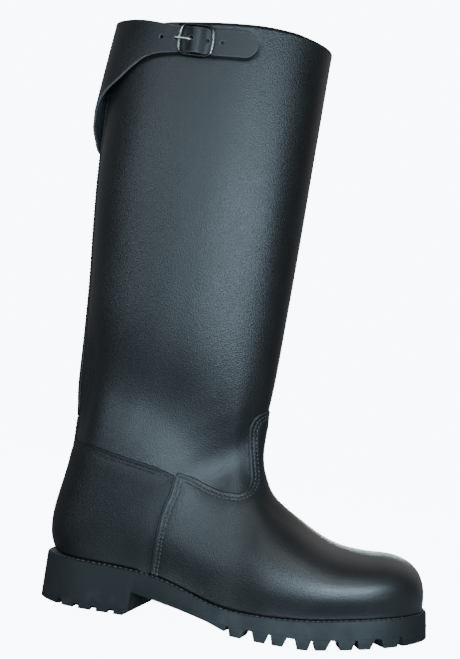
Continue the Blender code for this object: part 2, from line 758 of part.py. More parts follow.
def rounded_line(points, per_span):
    """Smooth line through hand-placed points in side view."""
    travel = travel_along(np.array(points))
    x_at = through(travel, [point[0] for point in points])
    z_at = through(travel, [point[1] for point in points])
    places = np.linspace(0.0, travel[-1], per_span * (len(points) - 1) + 1)
    return [(x_at(place), z_at(place)) for place in places]


def build_vamp(parts, tools, leather):
    seam = rounded_line(VAMP_SEAM, 1)[1:]
    top = rounded_line(VAMP_TOP, 2)[1:]
    tab = rounded_line(SHIN_TAB, 2)[1:]
    outline = seam + top + tab + [(AHEAD, SHIN_TAB[-1][1])] + seam_line(AHEAD, VAMP_SEAM[0][0], 40)
    return panel("vamp", prism("vamp_cutter", outline, tools), parts, leather)


def build_counter(parts, tools, leather):
    seam = [(x - 2 * GAP, z) for x, z in rounded_line(VAMP_SEAM, 1)[1:-1]]
    top = rounded_line(COUNTER_TOP, 1)
    outline = seam_line(BEHIND, VAMP_SEAM[0][0] - 2 * GAP, 14) + seam + top[::-1] + [(BEHIND, top[0][1])]
    tool = prism("counter_cutter", outline, tools)
    half, height = BACK_TAB
    below_top = top[0][1] - 2 * CUT_EXTRA
    cut(tool, box("back_tab_tool", (BEHIND, -half, below_top), (-BEHIND, half, height), tools), "UNION")
    return panel("counter", tool, parts, leather)


def build_back_strip(parts, tools, leather):
    half, height = BACK_TAB
    tool = box("strip_cutter", (BEHIND, -half, height + GAP), (-BEHIND, half, STRIP_TOP), tools)
    return panel("back_strip", tool, parts, leather)


def strap_off(distance, z):
    """Distance of the strap's inner face from the shaft."""
    outer_low, inner_low, inner_high, outer_high = FLARE_ROUND
    across = smoothstep(outer_low, inner_low, distance) * (1 - smoothstep(inner_high, outer_high, distance))
    edge, low, high = FLARE_HEIGHTS
    lean = min(max((high - z) / (high - low), 0.0), 1.0)
    flare = FLARE * across * lean * (CURL + (1 - CURL) * smoothstep(edge, low, z))
    place = (distance - BUCKLE_PLACE[0]) / HUMP_WIDTH
    return STRAP_GAP + flare + STRAP_HUMP * math.exp(-place * place)


def strap_rungs():
    """Rungs of the strap, the last of them closing its rounded end."""
    spacing = column(STRAP, STRAP_COLUMNS, "high_round")
    curves = [through(spacing, column(STRAP, STRAP_COLUMNS, name)) for name in STRAP_COLUMNS]
    places = spacing[:FLAP_ROWS] + list(np.linspace(spacing[FLAP_ROWS], spacing[-1], STRAP_STEPS))
    rungs = [[curve(place) for curve in curves] for place in places]
    _, low, end, high = rungs[-1]
    middle, half = (low + high) / 2, (high - low) / 2
    for turn in np.linspace(0.0, math.pi / 2, 6)[1:]:
        place = end + STRAP_TIP * math.sin(turn)
        reach = max(half * math.cos(turn), TIP_BLUNT)
        rungs.append([place, middle - reach, place, middle + reach])
    return rungs


def build_strap(parts, leather):
    rows = []
    for low_round, low_z, high_round, high_z in strap_rungs():
        row = []
        for share in np.linspace(1.0, 0.0, STRAP_ROWS + 1):
            distance = low_round + share * (high_round - low_round)
            z = low_z + share * (high_z - low_z)
            row.append(shaft_point(distance, z, strap_off(distance, z))[0])
        rows.append(row)
    strap = mesh_object("calf_strap", grid_surface(rows), parts, leather)
    thicken(strap, STRAP_THICKNESS, outward=True)
    return strap


def wire_mesh(name, points, radius, cyclic, parts, material):
    """Round wire through the points, as a closed mesh."""
    curve = bpy.data.curves.new(name, "CURVE")
    curve.dimensions = "3D"
    curve.bevel_depth = radius * MM
    curve.bevel_resolution = 2
    curve.use_fill_caps = not cyclic
    spline = curve.splines.new("POLY")
    spline.points.add(len(points) - 1)
    for point, place in zip(spline.points, points):
        point.co = (*(Vector(place) * MM), 1.0)
    spline.use_cyclic_u = cyclic
    guide = bpy.data.objects.new(name + "_guide", curve)
    bpy.context.scene.collection.objects.link(guide)
    evaluated = guide.evaluated_get(bpy.context.evaluated_depsgraph_get())
    mesh = bpy.data.meshes.new_from_object(evaluated)
    bpy.data.objects.remove(guide, do_unlink=True)
    bm = bmesh.new()
    bm.from_mesh(mesh)
    bpy.data.meshes.remove(mesh)
    bmesh.ops.remove_doubles(bm, verts=bm.verts, dist=0.005 * MM)
    bmesh.ops.recalc_face_normals(bm, faces=bm.faces)
    return mesh_object(name, bm, parts, material)


def buckle_frame():
    """Middle of the buckle, and its directions round the shaft, up and outwards."""
    distance, z = BUCKLE_PLACE
    place, outward = shaft_point(distance, z, BAR_HEIGHT)
    before, after = (shaft_point(distance + step, z, 0.0)[0] for step in (-BUCKLE_X / 2, BUCKLE_X / 2))
    ahead = after - before
    ahead -= outward * ahead.dot(outward)
    ahead /= np.linalg.norm(ahead)
    return place, ahead, np.cross(outward, ahead), outward


def buckle_point(frame, across, up, out):
    place, ahead, upward, outward = frame
    return place + across * ahead + up * upward + out * outward


def buckle_loop():
    """Rounded rectangle with bowed side bars."""
    points = []
    corners = ((1, 1, 0.0), (-1, 1, 90.0), (-1, -1, 180.0), (1, -1, 270.0))
    for right, top, start in corners:
        for step in range(5):
            turn = math.radians(start + step * 22.5)
            across = right * (BUCKLE_X - BUCKLE_CORNER) + BUCKLE_CORNER * math.cos(turn)
            up = top * (BUCKLE_HALF_HEIGHT - BUCKLE_CORNER) + BUCKLE_CORNER * math.sin(turn)
            bow = BUCKLE_BOW * (1 - (up / BUCKLE_HALF_HEIGHT) ** 2) * across / BUCKLE_X
            points.append((across + bow, up))
    return points


def build_buckle(parts, tools, steel):
    frame = buckle_frame()
    loop = [buckle_point(frame, across, up, 0.0) for across, up in buckle_loop()]
    buckle = wire_mesh("buckle", loop, WIRE, True, parts, steel)
    end, bend = BUCKLE_HALF_HEIGHT, BUCKLE_HALF_HEIGHT - WIRE
    route = ((-end, 0.0), (-bend, -MIDDLE_BAR_DROP), (bend, -MIDDLE_BAR_DROP), (end, 0.0))
    points = [buckle_point(frame, 0.0, up, out) for up, out in route]
    bar = make_cutter(wire_mesh("middle_bar_tool", points, MIDDLE_BAR, False, tools, steel))
    cut(buckle, bar, "UNION")
    return buckle


def build_prong(parts, tools, steel, strap):
    """Prong from beside the middle bar, through a hole in the strap, to its rest on the side bar."""
    frame = buckle_frame()
    rest = WIRE + PRONG_WIRE + GAP
    root, bend, bar = 2 * WIRE + GAP, 4 * WIRE, BUCKLE_X + BUCKLE_BOW
    route = ((-root, -MIDDLE_BAR_DROP), (-bend, rest), (-bar, rest), (-bar - PRONG_TIP, rest - GAP))
    points = [buckle_point(frame, across, 0.0, out) for across, out in route]
    prong = wire_mesh("buckle_prong", points, PRONG_WIRE, False, parts, steel)
    hole_route = ((-root, -2 * STRAP_HUMP), (-bend, 2 * STRAP_HUMP))
    points = [buckle_point(frame, across, 0.0, out) for across, out in hole_route]
    hole = make_cutter(wire_mesh("prong_hole_cutter", points, PRONG_HOLE, False, tools, steel))
    cut(strap, hole, "DIFFERENCE")
    return prong


def centre_on_floor(parts):
    """Empty that puts the middle of the boot's box over the origin, with the sole on z = 0."""
    bpy.context.view_layer.update()
    graph = bpy.context.evaluated_depsgraph_get()
    corners = []
    for thing in parts.objects:
        evaluated = thing.evaluated_get(graph)
        corners += [evaluated.matrix_world @ Vector(corner) for corner in evaluated.bound_box]
    low = [min(corner[i] for corner in corners) for i in range(3)]
    high = [max(corner[i] for corner in corners) for i in range(3)]
    root = bpy.data.objects.new("boot_root", None)
    bpy.context.scene.collection.objects.link(root)
    root.location = (-(low[0] + high[0]) / 2, -(low[1] + high[1]) / 2, -low[2])
    return root


def main():
    clear_scene()
    parts = make_collection("tall_boot")
    tools = make_collection("cutters")
    leather = make_material("black leather", (0.018, 0.018, 0.020), 0.42, 0.0)
    lining = make_material("brown lining board", (0.16, 0.10, 0.06), 0.8, 0.0)
    rubber = make_material("black rubber", (0.022, 0.022, 0.024), 0.72, 0.0)
    steel = make_material("dark nickel", (0.42, 0.42, 0.43), 0.28, 1.0)
    build_outsole(parts, tools, rubber)
    build_insole(parts, lining)
    build_upper(parts, leather)
    build_vamp(parts, tools, leather)
    build_counter(parts, tools, leather)
    build_back_strip(parts, tools, leather)
    strap = build_strap(parts, leather)
    build_buckle(parts, tools, steel)
    build_prong(parts, tools, steel, strap)
    root = centre_on_floor(parts)
    for thing in list(parts.objects) + list(tools.objects):
        thing.parent = root
    for thing in parts.objects:
        thing.data.shade_smooth()
        thing.data.set_sharp_from_angle(angle=math.radians(35.0))


main()
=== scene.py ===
# %% [markdown]
# # A tall pull-on boot
# The boot is black leather on a one-piece rubber sole with lugs, and a strap with a small wire buckle
# closes the top of its shaft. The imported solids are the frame. Each dressed piece below takes the place
# of one of them and keeps its form, with finer faces, seams, creases and a real finish.

# %% Load the frame
import math

import bmesh
import bpy
import numpy as np
from mathutils import Matrix, Vector


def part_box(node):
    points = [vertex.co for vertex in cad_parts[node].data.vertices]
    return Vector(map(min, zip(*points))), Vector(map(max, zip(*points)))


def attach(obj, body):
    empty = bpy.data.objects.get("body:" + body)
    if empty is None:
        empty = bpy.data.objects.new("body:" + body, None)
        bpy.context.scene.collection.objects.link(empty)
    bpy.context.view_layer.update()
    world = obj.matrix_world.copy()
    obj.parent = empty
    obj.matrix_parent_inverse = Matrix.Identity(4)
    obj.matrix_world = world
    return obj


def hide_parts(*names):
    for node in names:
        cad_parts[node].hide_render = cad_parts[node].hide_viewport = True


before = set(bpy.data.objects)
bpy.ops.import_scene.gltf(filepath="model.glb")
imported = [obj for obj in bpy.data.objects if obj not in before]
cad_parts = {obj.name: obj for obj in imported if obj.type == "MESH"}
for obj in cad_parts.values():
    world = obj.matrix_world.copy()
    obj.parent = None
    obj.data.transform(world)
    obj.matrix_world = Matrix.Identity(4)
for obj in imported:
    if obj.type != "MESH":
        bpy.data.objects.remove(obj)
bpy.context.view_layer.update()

print("frame nodes:", sorted(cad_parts))

# %% [markdown]
# All sizes are millimetres in the boot's drawing frame: x runs from the back of the heel to the toe, the
# outer side is at -y, and z starts 1.5 mm above the floor. Two of the solids tell where that frame lies:
# the insole starts 11 mm in from the heel, and the strip over the back seam is centred on y = 0.

# %% Drawing frame
MM = 0.001
FLOOR = -1.5
INSOLE_INSET = 11.0
strip_low, strip_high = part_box("back_strip")
HOME = np.array((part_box("insole")[0].x / MM - INSOLE_INSET, (strip_low.y + strip_high.y) / 2 / MM, -FLOOR))


def placed(points):
    """Points of the drawing in metres, where the frame has them."""
    return (np.asarray(points, float) + HOME) * MM


print("drawing frame moved by", HOME.round(3), "mm")

# %% [markdown]
# The camera stands 1.1 m off at mid height, 5 degrees round to the toe's side, and is rolled by 8.5
# degrees, so that the standing boot leans in the picture as it does in the photograph. Rolling the camera
# and not the boot keeps the sole flat on the floor.

# %% Camera
CAMERA_TARGET = (117.5, 0.0, 228.0)
CAMERA_DISTANCE, CAMERA_NEAREST = 1100.0, 10.0
CAMERA_TURN, CAMERA_ROLL = math.radians(5.0), math.radians(8.5)
CAMERA_LENS = 75.77


def add_object(name, data):
    """Object of the scene that shows a mesh, curve, lamp or camera."""
    thing = bpy.data.objects.new(name, data)
    bpy.context.scene.collection.objects.link(thing)
    return thing


back_axis = Vector((math.sin(CAMERA_TURN), -math.cos(CAMERA_TURN), 0.0))
level_axis = Vector((math.cos(CAMERA_TURN), math.sin(CAMERA_TURN), 0.0))
rise_axis = Vector((0.0, 0.0, 1.0))
right_axis = level_axis * math.cos(CAMERA_ROLL) + rise_axis * math.sin(CAMERA_ROLL)
up_axis = rise_axis * math.cos(CAMERA_ROLL) - level_axis * math.sin(CAMERA_ROLL)
camera = add_object("camera", bpy.data.cameras.new("camera"))
camera.data.lens = CAMERA_LENS
camera.data.clip_start = CAMERA_NEAREST * MM
camera.matrix_world = Matrix((right_axis, up_axis, back_axis)).transposed().to_4x4()
camera.location = Vector(placed(CAMERA_TARGET)) + back_axis * CAMERA_DISTANCE * MM
bpy.context.scene.camera = camera
print("camera at", [round(c, 3) for c in camera.location])

# %% [markdown]
# Soft light comes from large area lamps, because a small lamp or a sun would give hard, bright spots. A cool
# key lamp beside the camera draws the upright highlight on the shaft and the one on the toe. A weaker lamp
# fills the heel's side, one overhead lights the instep, a warm one beyond the toe gives the brown tinge on
# the shin, and a low one edges the inner side. Black leather shows little but such mirrored light, so where
# a lamp stands decides where the boot looks round.

# %% Light
LIGHT_COLUMNS = ("name", "place", "aim", "size", "power", "colour")
LIGHTS = (
    ("key", (585.0, -1160.0, 285.0), (120.0, 0.0, 230.0), (1100.0, 360.0), 17.8, (0.65, 0.85, 1.0)),
    ("fill", (-600.0, -1030.0, 410.0), (110.0, 0.0, 230.0), (1100.0, 260.0), 5.9, (0.68, 0.85, 1.0)),
    ("shin", (910.0, 940.0, 1090.0), (150.0, 0.0, 150.0), (1300.0, 1300.0), 1.0, (1.0, 0.82, 0.68)),
    ("top", (60.0, -900.0, 1150.0), (150.0, 0.0, 120.0), (1400.0, 450.0), 5.0, (0.85, 0.97, 1.0)),
    ("inner", (-80.0, 1350.0, 130.0), (110.0, 0.0, 230.0), (1100.0, 220.0), 7.0, (0.8, 0.95, 1.0)),
)
for row in LIGHTS:
    lamp = dict(zip(LIGHT_COLUMNS, row))
    area = bpy.data.lights.new(lamp["name"], "AREA")
    area.shape = "RECTANGLE"
    area.size, area.size_y = lamp["size"][0] * MM, lamp["size"][1] * MM
    area.energy = lamp["power"]
    area.color = lamp["colour"]
    thing = add_object(lamp["name"] + " lamp", area)
    thing.location = placed(lamp["place"])
    facing = Vector(placed(lamp["place"])) - Vector(placed(lamp["aim"]))
    thing.rotation_euler = facing.to_track_quat("Z", "Y").to_euler()
print(len(LIGHTS), "lamps")

# %% [markdown]
# Backdrop, floor and every finish are trees of shader nodes, built in code. A few helpers keep that short:
# one adds a node with its settings and values, and the others add a small sum, a soft change from one range
# to another, or a mix. What varies is linked from node to node, and what is the same all over is set on the
# shader itself, because an export can read it only there.

# %% Node helpers
def add(tree, kind, values=None, **settings):
    """Node with its settings and the values of its unlinked inputs."""
    node = tree.nodes.new(kind)
    for name, value in settings.items():
        setattr(node, name, value)
    for name, value in (values or {}).items():
        node.inputs[name].default_value = value
    return node


def math_node(tree, operation, first, second):
    """Math node whose two inputs are sockets or numbers."""
    node = add(tree, "ShaderNodeMath", operation=operation)
    for place, item in enumerate((first, second)):
        if isinstance(item, (int, float)):
            node.inputs[place].default_value = item
        else:
            tree.links.new(item, node.inputs[place])
    return node.outputs["Value"]


def remap(tree, value, low, high, to_low=0.0, to_high=1.0):
    """Value taken from one range to another, with soft ends."""
    ranges = {"From Min": low, "From Max": high, "To Min": to_low, "To Max": to_high}
    node = add(tree, "ShaderNodeMapRange", ranges, interpolation_type="SMOOTHSTEP")
    tree.links.new(value, node.inputs["Value"])
    return node.outputs["Result"]


def mix_shader(tree, share, first, second):
    """Shader between two shaders."""
    node = add(tree, "ShaderNodeMixShader")
    for place, item in enumerate((share, first, second)):
        tree.links.new(item, node.inputs[place])
    return node.outputs["Shader"]


print("node helpers ready")

# %% [markdown]
# A real boot is photographed in front of bright paper, but black leather looks milky in a room that is white
# all round. So the world is bright only where the camera looks past the boot, told by the kind of ray. What
# the leather mirrors is a dim room, with a paler wall on the inner side, so that the inner side and the back
# can be read too.

# %% World
BACKDROP = (0.84, 0.88, 1.0)
BACKDROP_STRENGTH = 11.0
ROOM = (0.08, 0.085, 0.09)
LIT_WALL = (-0.25, 0.96, 0.1)
WALL_FADE = (-0.1, 0.9)
WALL_STRENGTH = (1.0, 3.6)
world = bpy.data.worlds.new("studio")
bpy.context.scene.world = world
world.use_nodes = True
tree = world.node_tree
tree.nodes.clear()
seen = add(tree, "ShaderNodeBackground", {"Color": (*BACKDROP, 1.0), "Strength": BACKDROP_STRENGTH})
around = add(tree, "ShaderNodeBackground", {"Color": (*ROOM, 1.0)})
towards = add(tree, "ShaderNodeTexCoord")
facing_wall = add(tree, "ShaderNodeVectorMath", {1: LIT_WALL}, operation="DOT_PRODUCT")
tree.links.new(towards.outputs["Generated"], facing_wall.inputs[0])
wall = remap(tree, facing_wall.outputs["Value"], *WALL_FADE, *WALL_STRENGTH)
tree.links.new(wall, around.inputs["Strength"])
path = add(tree, "ShaderNodeLightPath")
room, backdrop = (node.outputs["Background"] for node in (around, seen))
either = mix_shader(tree, path.outputs["Is Camera Ray"], room, backdrop)
tree.links.new(either, add(tree, "ShaderNodeOutputWorld").inputs["Surface"])
print("world:", len(tree.nodes), "nodes")

# %% [markdown]
# The boot stands on a pale floor that takes its soft shadow. The floor is one square, lit to the backdrop's
# brightness for the camera alone and faded out towards its rim, so that no horizon shows. A curved paper
# sweep would do the same, but it would stand in the way of the other views.

# %% Floor
FLOOR_REACH = 1.4
FLOOR_FADE = (0.45, 1.3)
FLOOR_PAINT, FLOOR_ROUGHNESS = (0.30, 0.31, 0.33), 0.85


def floor_material():
    """Pale floor that fades into the backdrop."""
    material = bpy.data.materials.new("pale floor")
    material.use_nodes = True
    tree = material.node_tree
    tree.nodes.clear()
    far = add(tree, "ShaderNodeVectorMath", operation="LENGTH")
    tree.links.new(add(tree, "ShaderNodeTexCoord").outputs["Object"], far.inputs[0])
    painted = {"Base Color": (*FLOOR_PAINT, 1.0), "Roughness": FLOOR_ROUGHNESS}
    paint = add(tree, "ShaderNodeBsdfPrincipled", painted).outputs["BSDF"]
    lit = add(tree, "ShaderNodeEmission", {"Color": (*BACKDROP, 1.0), "Strength": BACKDROP_STRENGTH})
    both = add(tree, "ShaderNodeAddShader")
    tree.links.new(paint, both.inputs[0])
    tree.links.new(lit.outputs["Emission"], both.inputs[1])
    path, clear = add(tree, "ShaderNodeLightPath"), add(tree, "ShaderNodeBsdfTransparent")
    seen = mix_shader(tree, path.outputs["Is Camera Ray"], paint, both.outputs["Shader"])
    fade = remap(tree, far.outputs["Value"], *FLOOR_FADE, 1.0, 0.0)
    faded = mix_shader(tree, fade, clear.outputs["BSDF"], seen)
    tree.links.new(faded, add(tree, "ShaderNodeOutputMaterial").inputs["Surface"])
    return material


ground = bpy.data.meshes.new("floor")
corners = [(x * FLOOR_REACH, y * FLOOR_REACH, 0.0) for x, y in ((-1, -1), (1, -1), (1, 1), (-1, 1))]
ground.from_pydata(corners, [], [(0, 1, 2, 3)])
ground.materials.append(floor_material())
floor = add_object("floor", ground)
print("floor", 2 * FLOOR_REACH, "m wide")

# %% [markdown]
# ## The last
# A boot is shaped on a last, and its sections are what a last maker measures: length, width at the ball,
# instep, heel height and girth up the calf. Tables hold those sections, and smooth curves run through
# them. The curves work on whole arrays at once, so a fine surface takes a second instead of a minute.

# %% Curves through tables
def column(table, names, name):
    """One named column of a table."""
    return [row[names.index(name)] for row in table]


def through(knots, values):
    """Smooth curve through the given values that never overshoots between two of them."""
    x, y = np.array(knots, float), np.array(values, float)
    if x[0] > x[-1]:
        x, y = x[::-1], y[::-1]
    step = np.diff(x)
    slope = np.diff(y) / step
    tangent = np.concatenate((slope[:1], np.zeros(len(x) - 2), slope[-1:]))
    for i in range(1, len(x) - 1):
        if slope[i - 1] * slope[i] > 0.0:
            near, far = 2 * step[i] + step[i - 1], step[i] + 2 * step[i - 1]
            tangent[i] = (near + far) / (near / slope[i - 1] + far / slope[i])

    def at(value):
        value = np.clip(value, x[0], x[-1])
        i = np.clip(np.searchsorted(x, value) - 1, 0, len(x) - 2)
        t = (value - x[i]) / step[i]
        keep, take = (1 + 2 * t) * (1 - t) ** 2, t * t * (3 - 2 * t)
        lift, drop = t * (1 - t) ** 2, t * t * (t - 1)
        return keep * y[i] + take * y[i + 1] + step[i] * (lift * tangent[i] + drop * tangent[i + 1])

    return at


def table_curves(table, names):
    """A curve for each column of a table, over its first column."""
    knots = column(table, names, names[0])
    return {name: through(knots, column(table, names, name)) for name in names[1:]}


def smoothstep(start, end, value):
    """0 up to start, 1 from end on, with a soft change between them."""
    t = np.clip((value - start) / (end - start), 0.0, 1.0)
    return t * t * (3 - 2 * t)


def round_end(distance, length, squareness):
    """1 well inside a rounded end, falling to 0 at its tip."""
    reach = np.clip(distance / length, 0.0, 1.0)
    return (1 - (1 - reach) ** squareness) ** (1 / squareness)


print("curves ready")

# %% [markdown]
# Everything starts from the sole. Its plan gives the width to the outer and inner side at each place along
# the foot, with both ends rounded, and the seam is the height at which the upper meets it: high over the
# heel, low at the waist and rising again to the toe. Short tables are easier to correct than a drawn curve.

# %% Sole outline and seam
SETBACK = 5.2
SOLE_GAP = 0.9
SOLE_LENGTH, BALL_X = 302.5, 212.0
HEEL_ROUND = (38.0, 2.1)
TOE_ROUND = (54.0, 2.3)
PLAN_COLUMNS = ("x", "lateral", "medial", "centre")
PLAN = (
    (0.0, 37.0, 36.0, 0.0),
    (40.0, 38.5, 37.5, 0.0),
    (74.0, 38.0, 36.0, 0.0),
    (108.0, 39.0, 32.5, 0.0),
    (147.0, 47.5, 40.0, 0.0),
    (185.0, 54.8, 50.0, 0.0),
    (212.0, 55.5, 53.5, 0.3),
    (242.0, 51.8, 53.0, 1.2),
    (272.0, 46.5, 50.0, 2.6),
    (302.5, 41.0, 46.0, 4.0),
)
SEAM_COLUMNS = ("x", "z")
SEAM = (
    (0.0, 34.0),
    (30.0, 34.6),
    (53.0, 34.2),
    (71.0, 33.4),
    (86.0, 31.8),
    (104.0, 28.0),
    (121.0, 22.9),
    (137.0, 18.6),
    (155.0, 16.6),
    (174.0, 17.1),
    (205.0, 19.4),
    (239.0, 24.0),
    (270.0, 28.8),
    (302.5, 32.6),
)
PLAN_AT = table_curves(PLAN, PLAN_COLUMNS)
SEAM_Z = table_curves(SEAM, SEAM_COLUMNS)["z"]


def toe_half(x, side, inset):
    """Half width of the sole's outline with its toe rounded, moved in by inset."""
    length, squareness = TOE_ROUND
    toe = round_end(SOLE_LENGTH - inset - x, length - inset, squareness)
    return (PLAN_AT[side](x) - inset) * toe


def plan_edges(x, inset):
    """y of the outline's lateral and medial edge, with both ends rounded."""
    length, squareness = HEEL_ROUND
    heel = round_end(x - inset, length - inset, squareness)
    centre = PLAN_AT["centre"](x)
    return centre - toe_half(x, "lateral", inset) * heel, centre + toe_half(x, "medial", inset) * heel


print("sole", SOLE_LENGTH, "mm long,", round(float(np.ptp(plan_edges(BALL_X, 0.0))), 1), "mm at the ball")

# %% [markdown]
# The upper's sections fan out as they do on a last: upright through the foot, turning at the ankle, and level
# up the shaft. Each has a front ridge, a base or back, its half widths, and numbers for how high it is widest
# and how square its crown is. Their columns become curves along the middle line, so a section can be had at
# any station.

# %% Sections of foot, ankle and shaft
TOE_CAP_ROUND = (40.0, 3.0)
CALF_ROUND = 80.0
CALF_HEIGHT = 300.0
RIM_FADE = (395.0, 452.0)
TOE_SECTIONS, TOE_SAMPLES, BEHIND_TOE = 13, 400, 1.0
FOOT_COLUMNS = ("x", "ridge_z", "widest", "crown", "bulge")
FOOT = (
    (297.0, 69.8, 0.42, 2.5, 2.5),
    (270.0, 69.8, 0.42, 2.5, 3.0),
    (251.0, 68.9, 0.40, 2.4, 3.6),
    (236.0, 69.7, 0.38, 2.3, 4.0),
    (224.0, 72.0, 0.36, 2.2, 4.0),
    (209.0, 78.0, 0.33, 2.1, 3.8),
    (194.0, 86.4, 0.30, 2.0, 3.4),
    (180.0, 94.6, 0.28, 1.9, 3.2),
    (170.0, 102.0, 0.27, 1.85, 3.0),
)
FAN_COLUMNS = ("base_x", "front_x", "front_z", "lateral", "medial", "widest", "crown")
FAN = (
    (148.0, 162.7, 114.4, 43.0, 37.0, 0.27, 1.85),
    (123.0, 158.4, 126.8, 39.5, 33.5, 0.27, 1.85),
    (98.0, 157.0, 136.0, 37.4, 32.8, 0.28, 1.90),
    (73.0, 156.8, 143.5, 36.8, 34.2, 0.30, 1.90),
    (50.0, 156.9, 149.5, 36.5, 35.2, 0.33, 1.95),
    (33.0, 157.1, 154.5, 36.5, 35.8, 0.37, 1.95),
    (19.0, 157.3, 158.5, 36.6, 36.2, 0.41, 2.00),
    (10.5, 157.4, 161.8, 36.8, 36.6, 0.44, 2.00),
    (6.8, 157.5, 164.3, 37.0, 36.9, 0.455, 2.02),
)
SHAFT_COLUMNS = ("back_x", "back_z", "front_x", "front_z", "half", "widest", "crown")
SHAFT = (
    (5.2, 34.97, 157.6, 166.6, 37.2, 0.465, 2.05),
    (2.6, 44.0, 157.8, 169.0, 37.5, 0.47, 2.06),
    (1.2, 53.0, 158.0, 172.0, 37.8, 0.475, 2.07),
    (1.0, 61.0, 158.3, 175.5, 38.1, 0.48, 2.08),
    (1.8, 70.0, 158.6, 179.0, 38.4, 0.485, 2.09),
    (3.4, 80.0, 158.9, 183.5, 38.7, 0.49, 2.10),
    (5.6, 93.0, 159.3, 189.5, 39.0, 0.49, 2.11),
    (7.6, 107.0, 159.6, 196.0, 39.4, 0.495, 2.12),
    (8.6, 121.0, 159.9, 203.0, 39.8, 0.50, 2.14),
    (8.4, 136.0, 160.2, 211.0, 40.3, 0.50, 2.16),
    (7.6, 149.0, 160.4, 219.5, 40.9, 0.50, 2.18),
    (5.4, 163.0, 160.7, 229.0, 41.6, 0.50, 2.20),
    (3.9, 202.0, 161.4, 255.0, 43.3, 0.50, 2.23),
    (1.9, 246.0, 162.1, 283.0, 45.2, 0.50, 2.26),
    (-2.0, 295.0, 162.9, 317.0, 47.2, 0.50, 2.29),
    (-4.8, 345.0, 163.6, 357.0, 49.2, 0.50, 2.30),
    (-5.4, 395.0, 164.5, 401.0, 50.3, 0.50, 2.30),
    (-5.5, 430.0, 165.1, 433.0, 50.8, 0.50, 2.30),
    (-5.4, 455.0, 165.6, 455.0, 51.0, 0.50, 2.30),
)
RIM_COLUMNS = ("x", "rise")
RIM = (
    (-5.5, 0.4),
    (4.0, -1.6),
    (24.0, -2.6),
    (54.0, 0.0),
    (94.0, 3.6),
    (118.0, 4.7),
    (136.0, 4.3),
    (150.0, 2.5),
    (165.6, 0.0),
)
FOOT_AT = table_curves(FOOT, FOOT_COLUMNS)
RIM_RISE = table_curves(RIM, RIM_COLUMNS)["rise"]
BACK_X = through([SEAM_Z(SETBACK)] + column(SHAFT, SHAFT_COLUMNS, "back_z"),
                 [SETBACK] + column(SHAFT, SHAFT_COLUMNS, "back_x"))


def foot_section(x, toe_height=1.0):
    """Upright section of the foot; toe_height lowers the ridge towards the toe's tip."""
    bottom = SEAM_Z(x) + SOLE_GAP
    base = {side: toe_half(x, side, SETBACK) for side in ("lateral", "medial")}
    swell = {side: 1 + FOOT_AT["bulge"](x) / (PLAN_AT[side](x) - SETBACK) for side in base}
    return {
        "base_x": x, "base_z": bottom,
        "front_x": x, "front_z": bottom + (FOOT_AT["ridge_z"](x) - bottom) * toe_height,
        "lateral": base["lateral"] * swell["lateral"], "medial": base["medial"] * swell["medial"],
        "base_lateral": base["lateral"], "base_medial": base["medial"],
        "widest": FOOT_AT["widest"](x), "crown": FOOT_AT["crown"](x), "centre": PLAN_AT["centre"](x),
    }


def toe_sections(count):
    """Sections of the rounded toe, evenly spaced round its side view, tip first."""
    length, squareness = TOE_CAP_ROUND
    turn = np.linspace(0.0, math.pi / 2, TOE_SAMPLES)
    along, height = 1 - np.cos(turn) ** (2 / squareness), np.sin(turn) ** (2 / squareness)
    travel = np.concatenate(([0.0], np.cumsum(np.hypot(np.diff(along), np.diff(height)))))
    tip = SOLE_LENGTH - SETBACK
    shares = np.linspace(0.0, travel[-1], count)
    places, heights = np.interp(shares, travel, along), np.interp(shares, travel, height)
    return [foot_section(tip - place * length, rise) for place, rise in zip(places, heights)]


def instep_sections():
    """Upright sections behind the rounded toe."""
    behind_toe = SOLE_LENGTH - SETBACK - TOE_CAP_ROUND[0] - BEHIND_TOE
    return [foot_section(x) for x in column(FOOT, FOOT_COLUMNS, "x") if x < behind_toe]


def fan_section(row):
    """Section that leans back over the instep and ankle."""
    section = dict(zip(FAN_COLUMNS, row))
    base_x = section["base_x"]
    section.update(base_z=SEAM_Z(base_x) + SOLE_GAP, centre=0.0)
    for side in ("lateral", "medial"):
        section["base_" + side] = toe_half(base_x, side, SETBACK)
    return section


def shaft_section(row):
    """Section of heel and shaft that closes round the back."""
    section = dict(zip(SHAFT_COLUMNS, row))
    section.update(base_x=section["back_x"], base_z=section["back_z"], centre=0.0)
    half = section["half"]
    risen = smoothstep(SEAM_Z(0.0), CALF_HEIGHT / 2, section["back_z"])
    for side in ("lateral", "medial"):
        heel = toe_half(SETBACK, side, SETBACK)
        section.update({side: half, "base_" + side: heel + (half - heel) * risen})
    return section


foot_sections = toe_sections(TOE_SECTIONS) + instep_sections() + [fan_section(row) for row in FAN]
sections = foot_sections + [shaft_section(row) for row in SHAFT]
middles = [((s["base_x"] + s["front_x"]) / 2, (s["base_z"] + s["front_z"]) / 2) for s in sections]
STATIONS = np.concatenate(([0.0], np.cumsum(np.hypot(*np.diff(middles, axis=0).T))))
CLOSED_FROM = STATIONS[len(foot_sections)]
SECTION_AT = {name: through(STATIONS, [s[name] for s in sections]) for name in foot_sections[0]}
print(len(sections), "sections over", round(STATIONS[-1]), "mm")

# %% [markdown]
# Half outlines to the outer and inner side are drawn at many stations and set into one grid, evenly round
# each section. Rows lie closer at the toe, where the form turns fast, and at the rim. The step from row to
# row changes slowly, because a sudden change would show as a line in the highlight. Smoothing along the
# rows takes out the small steps that the tables leave.

# %% The upper's outer face
HALF_SAMPLES = 60


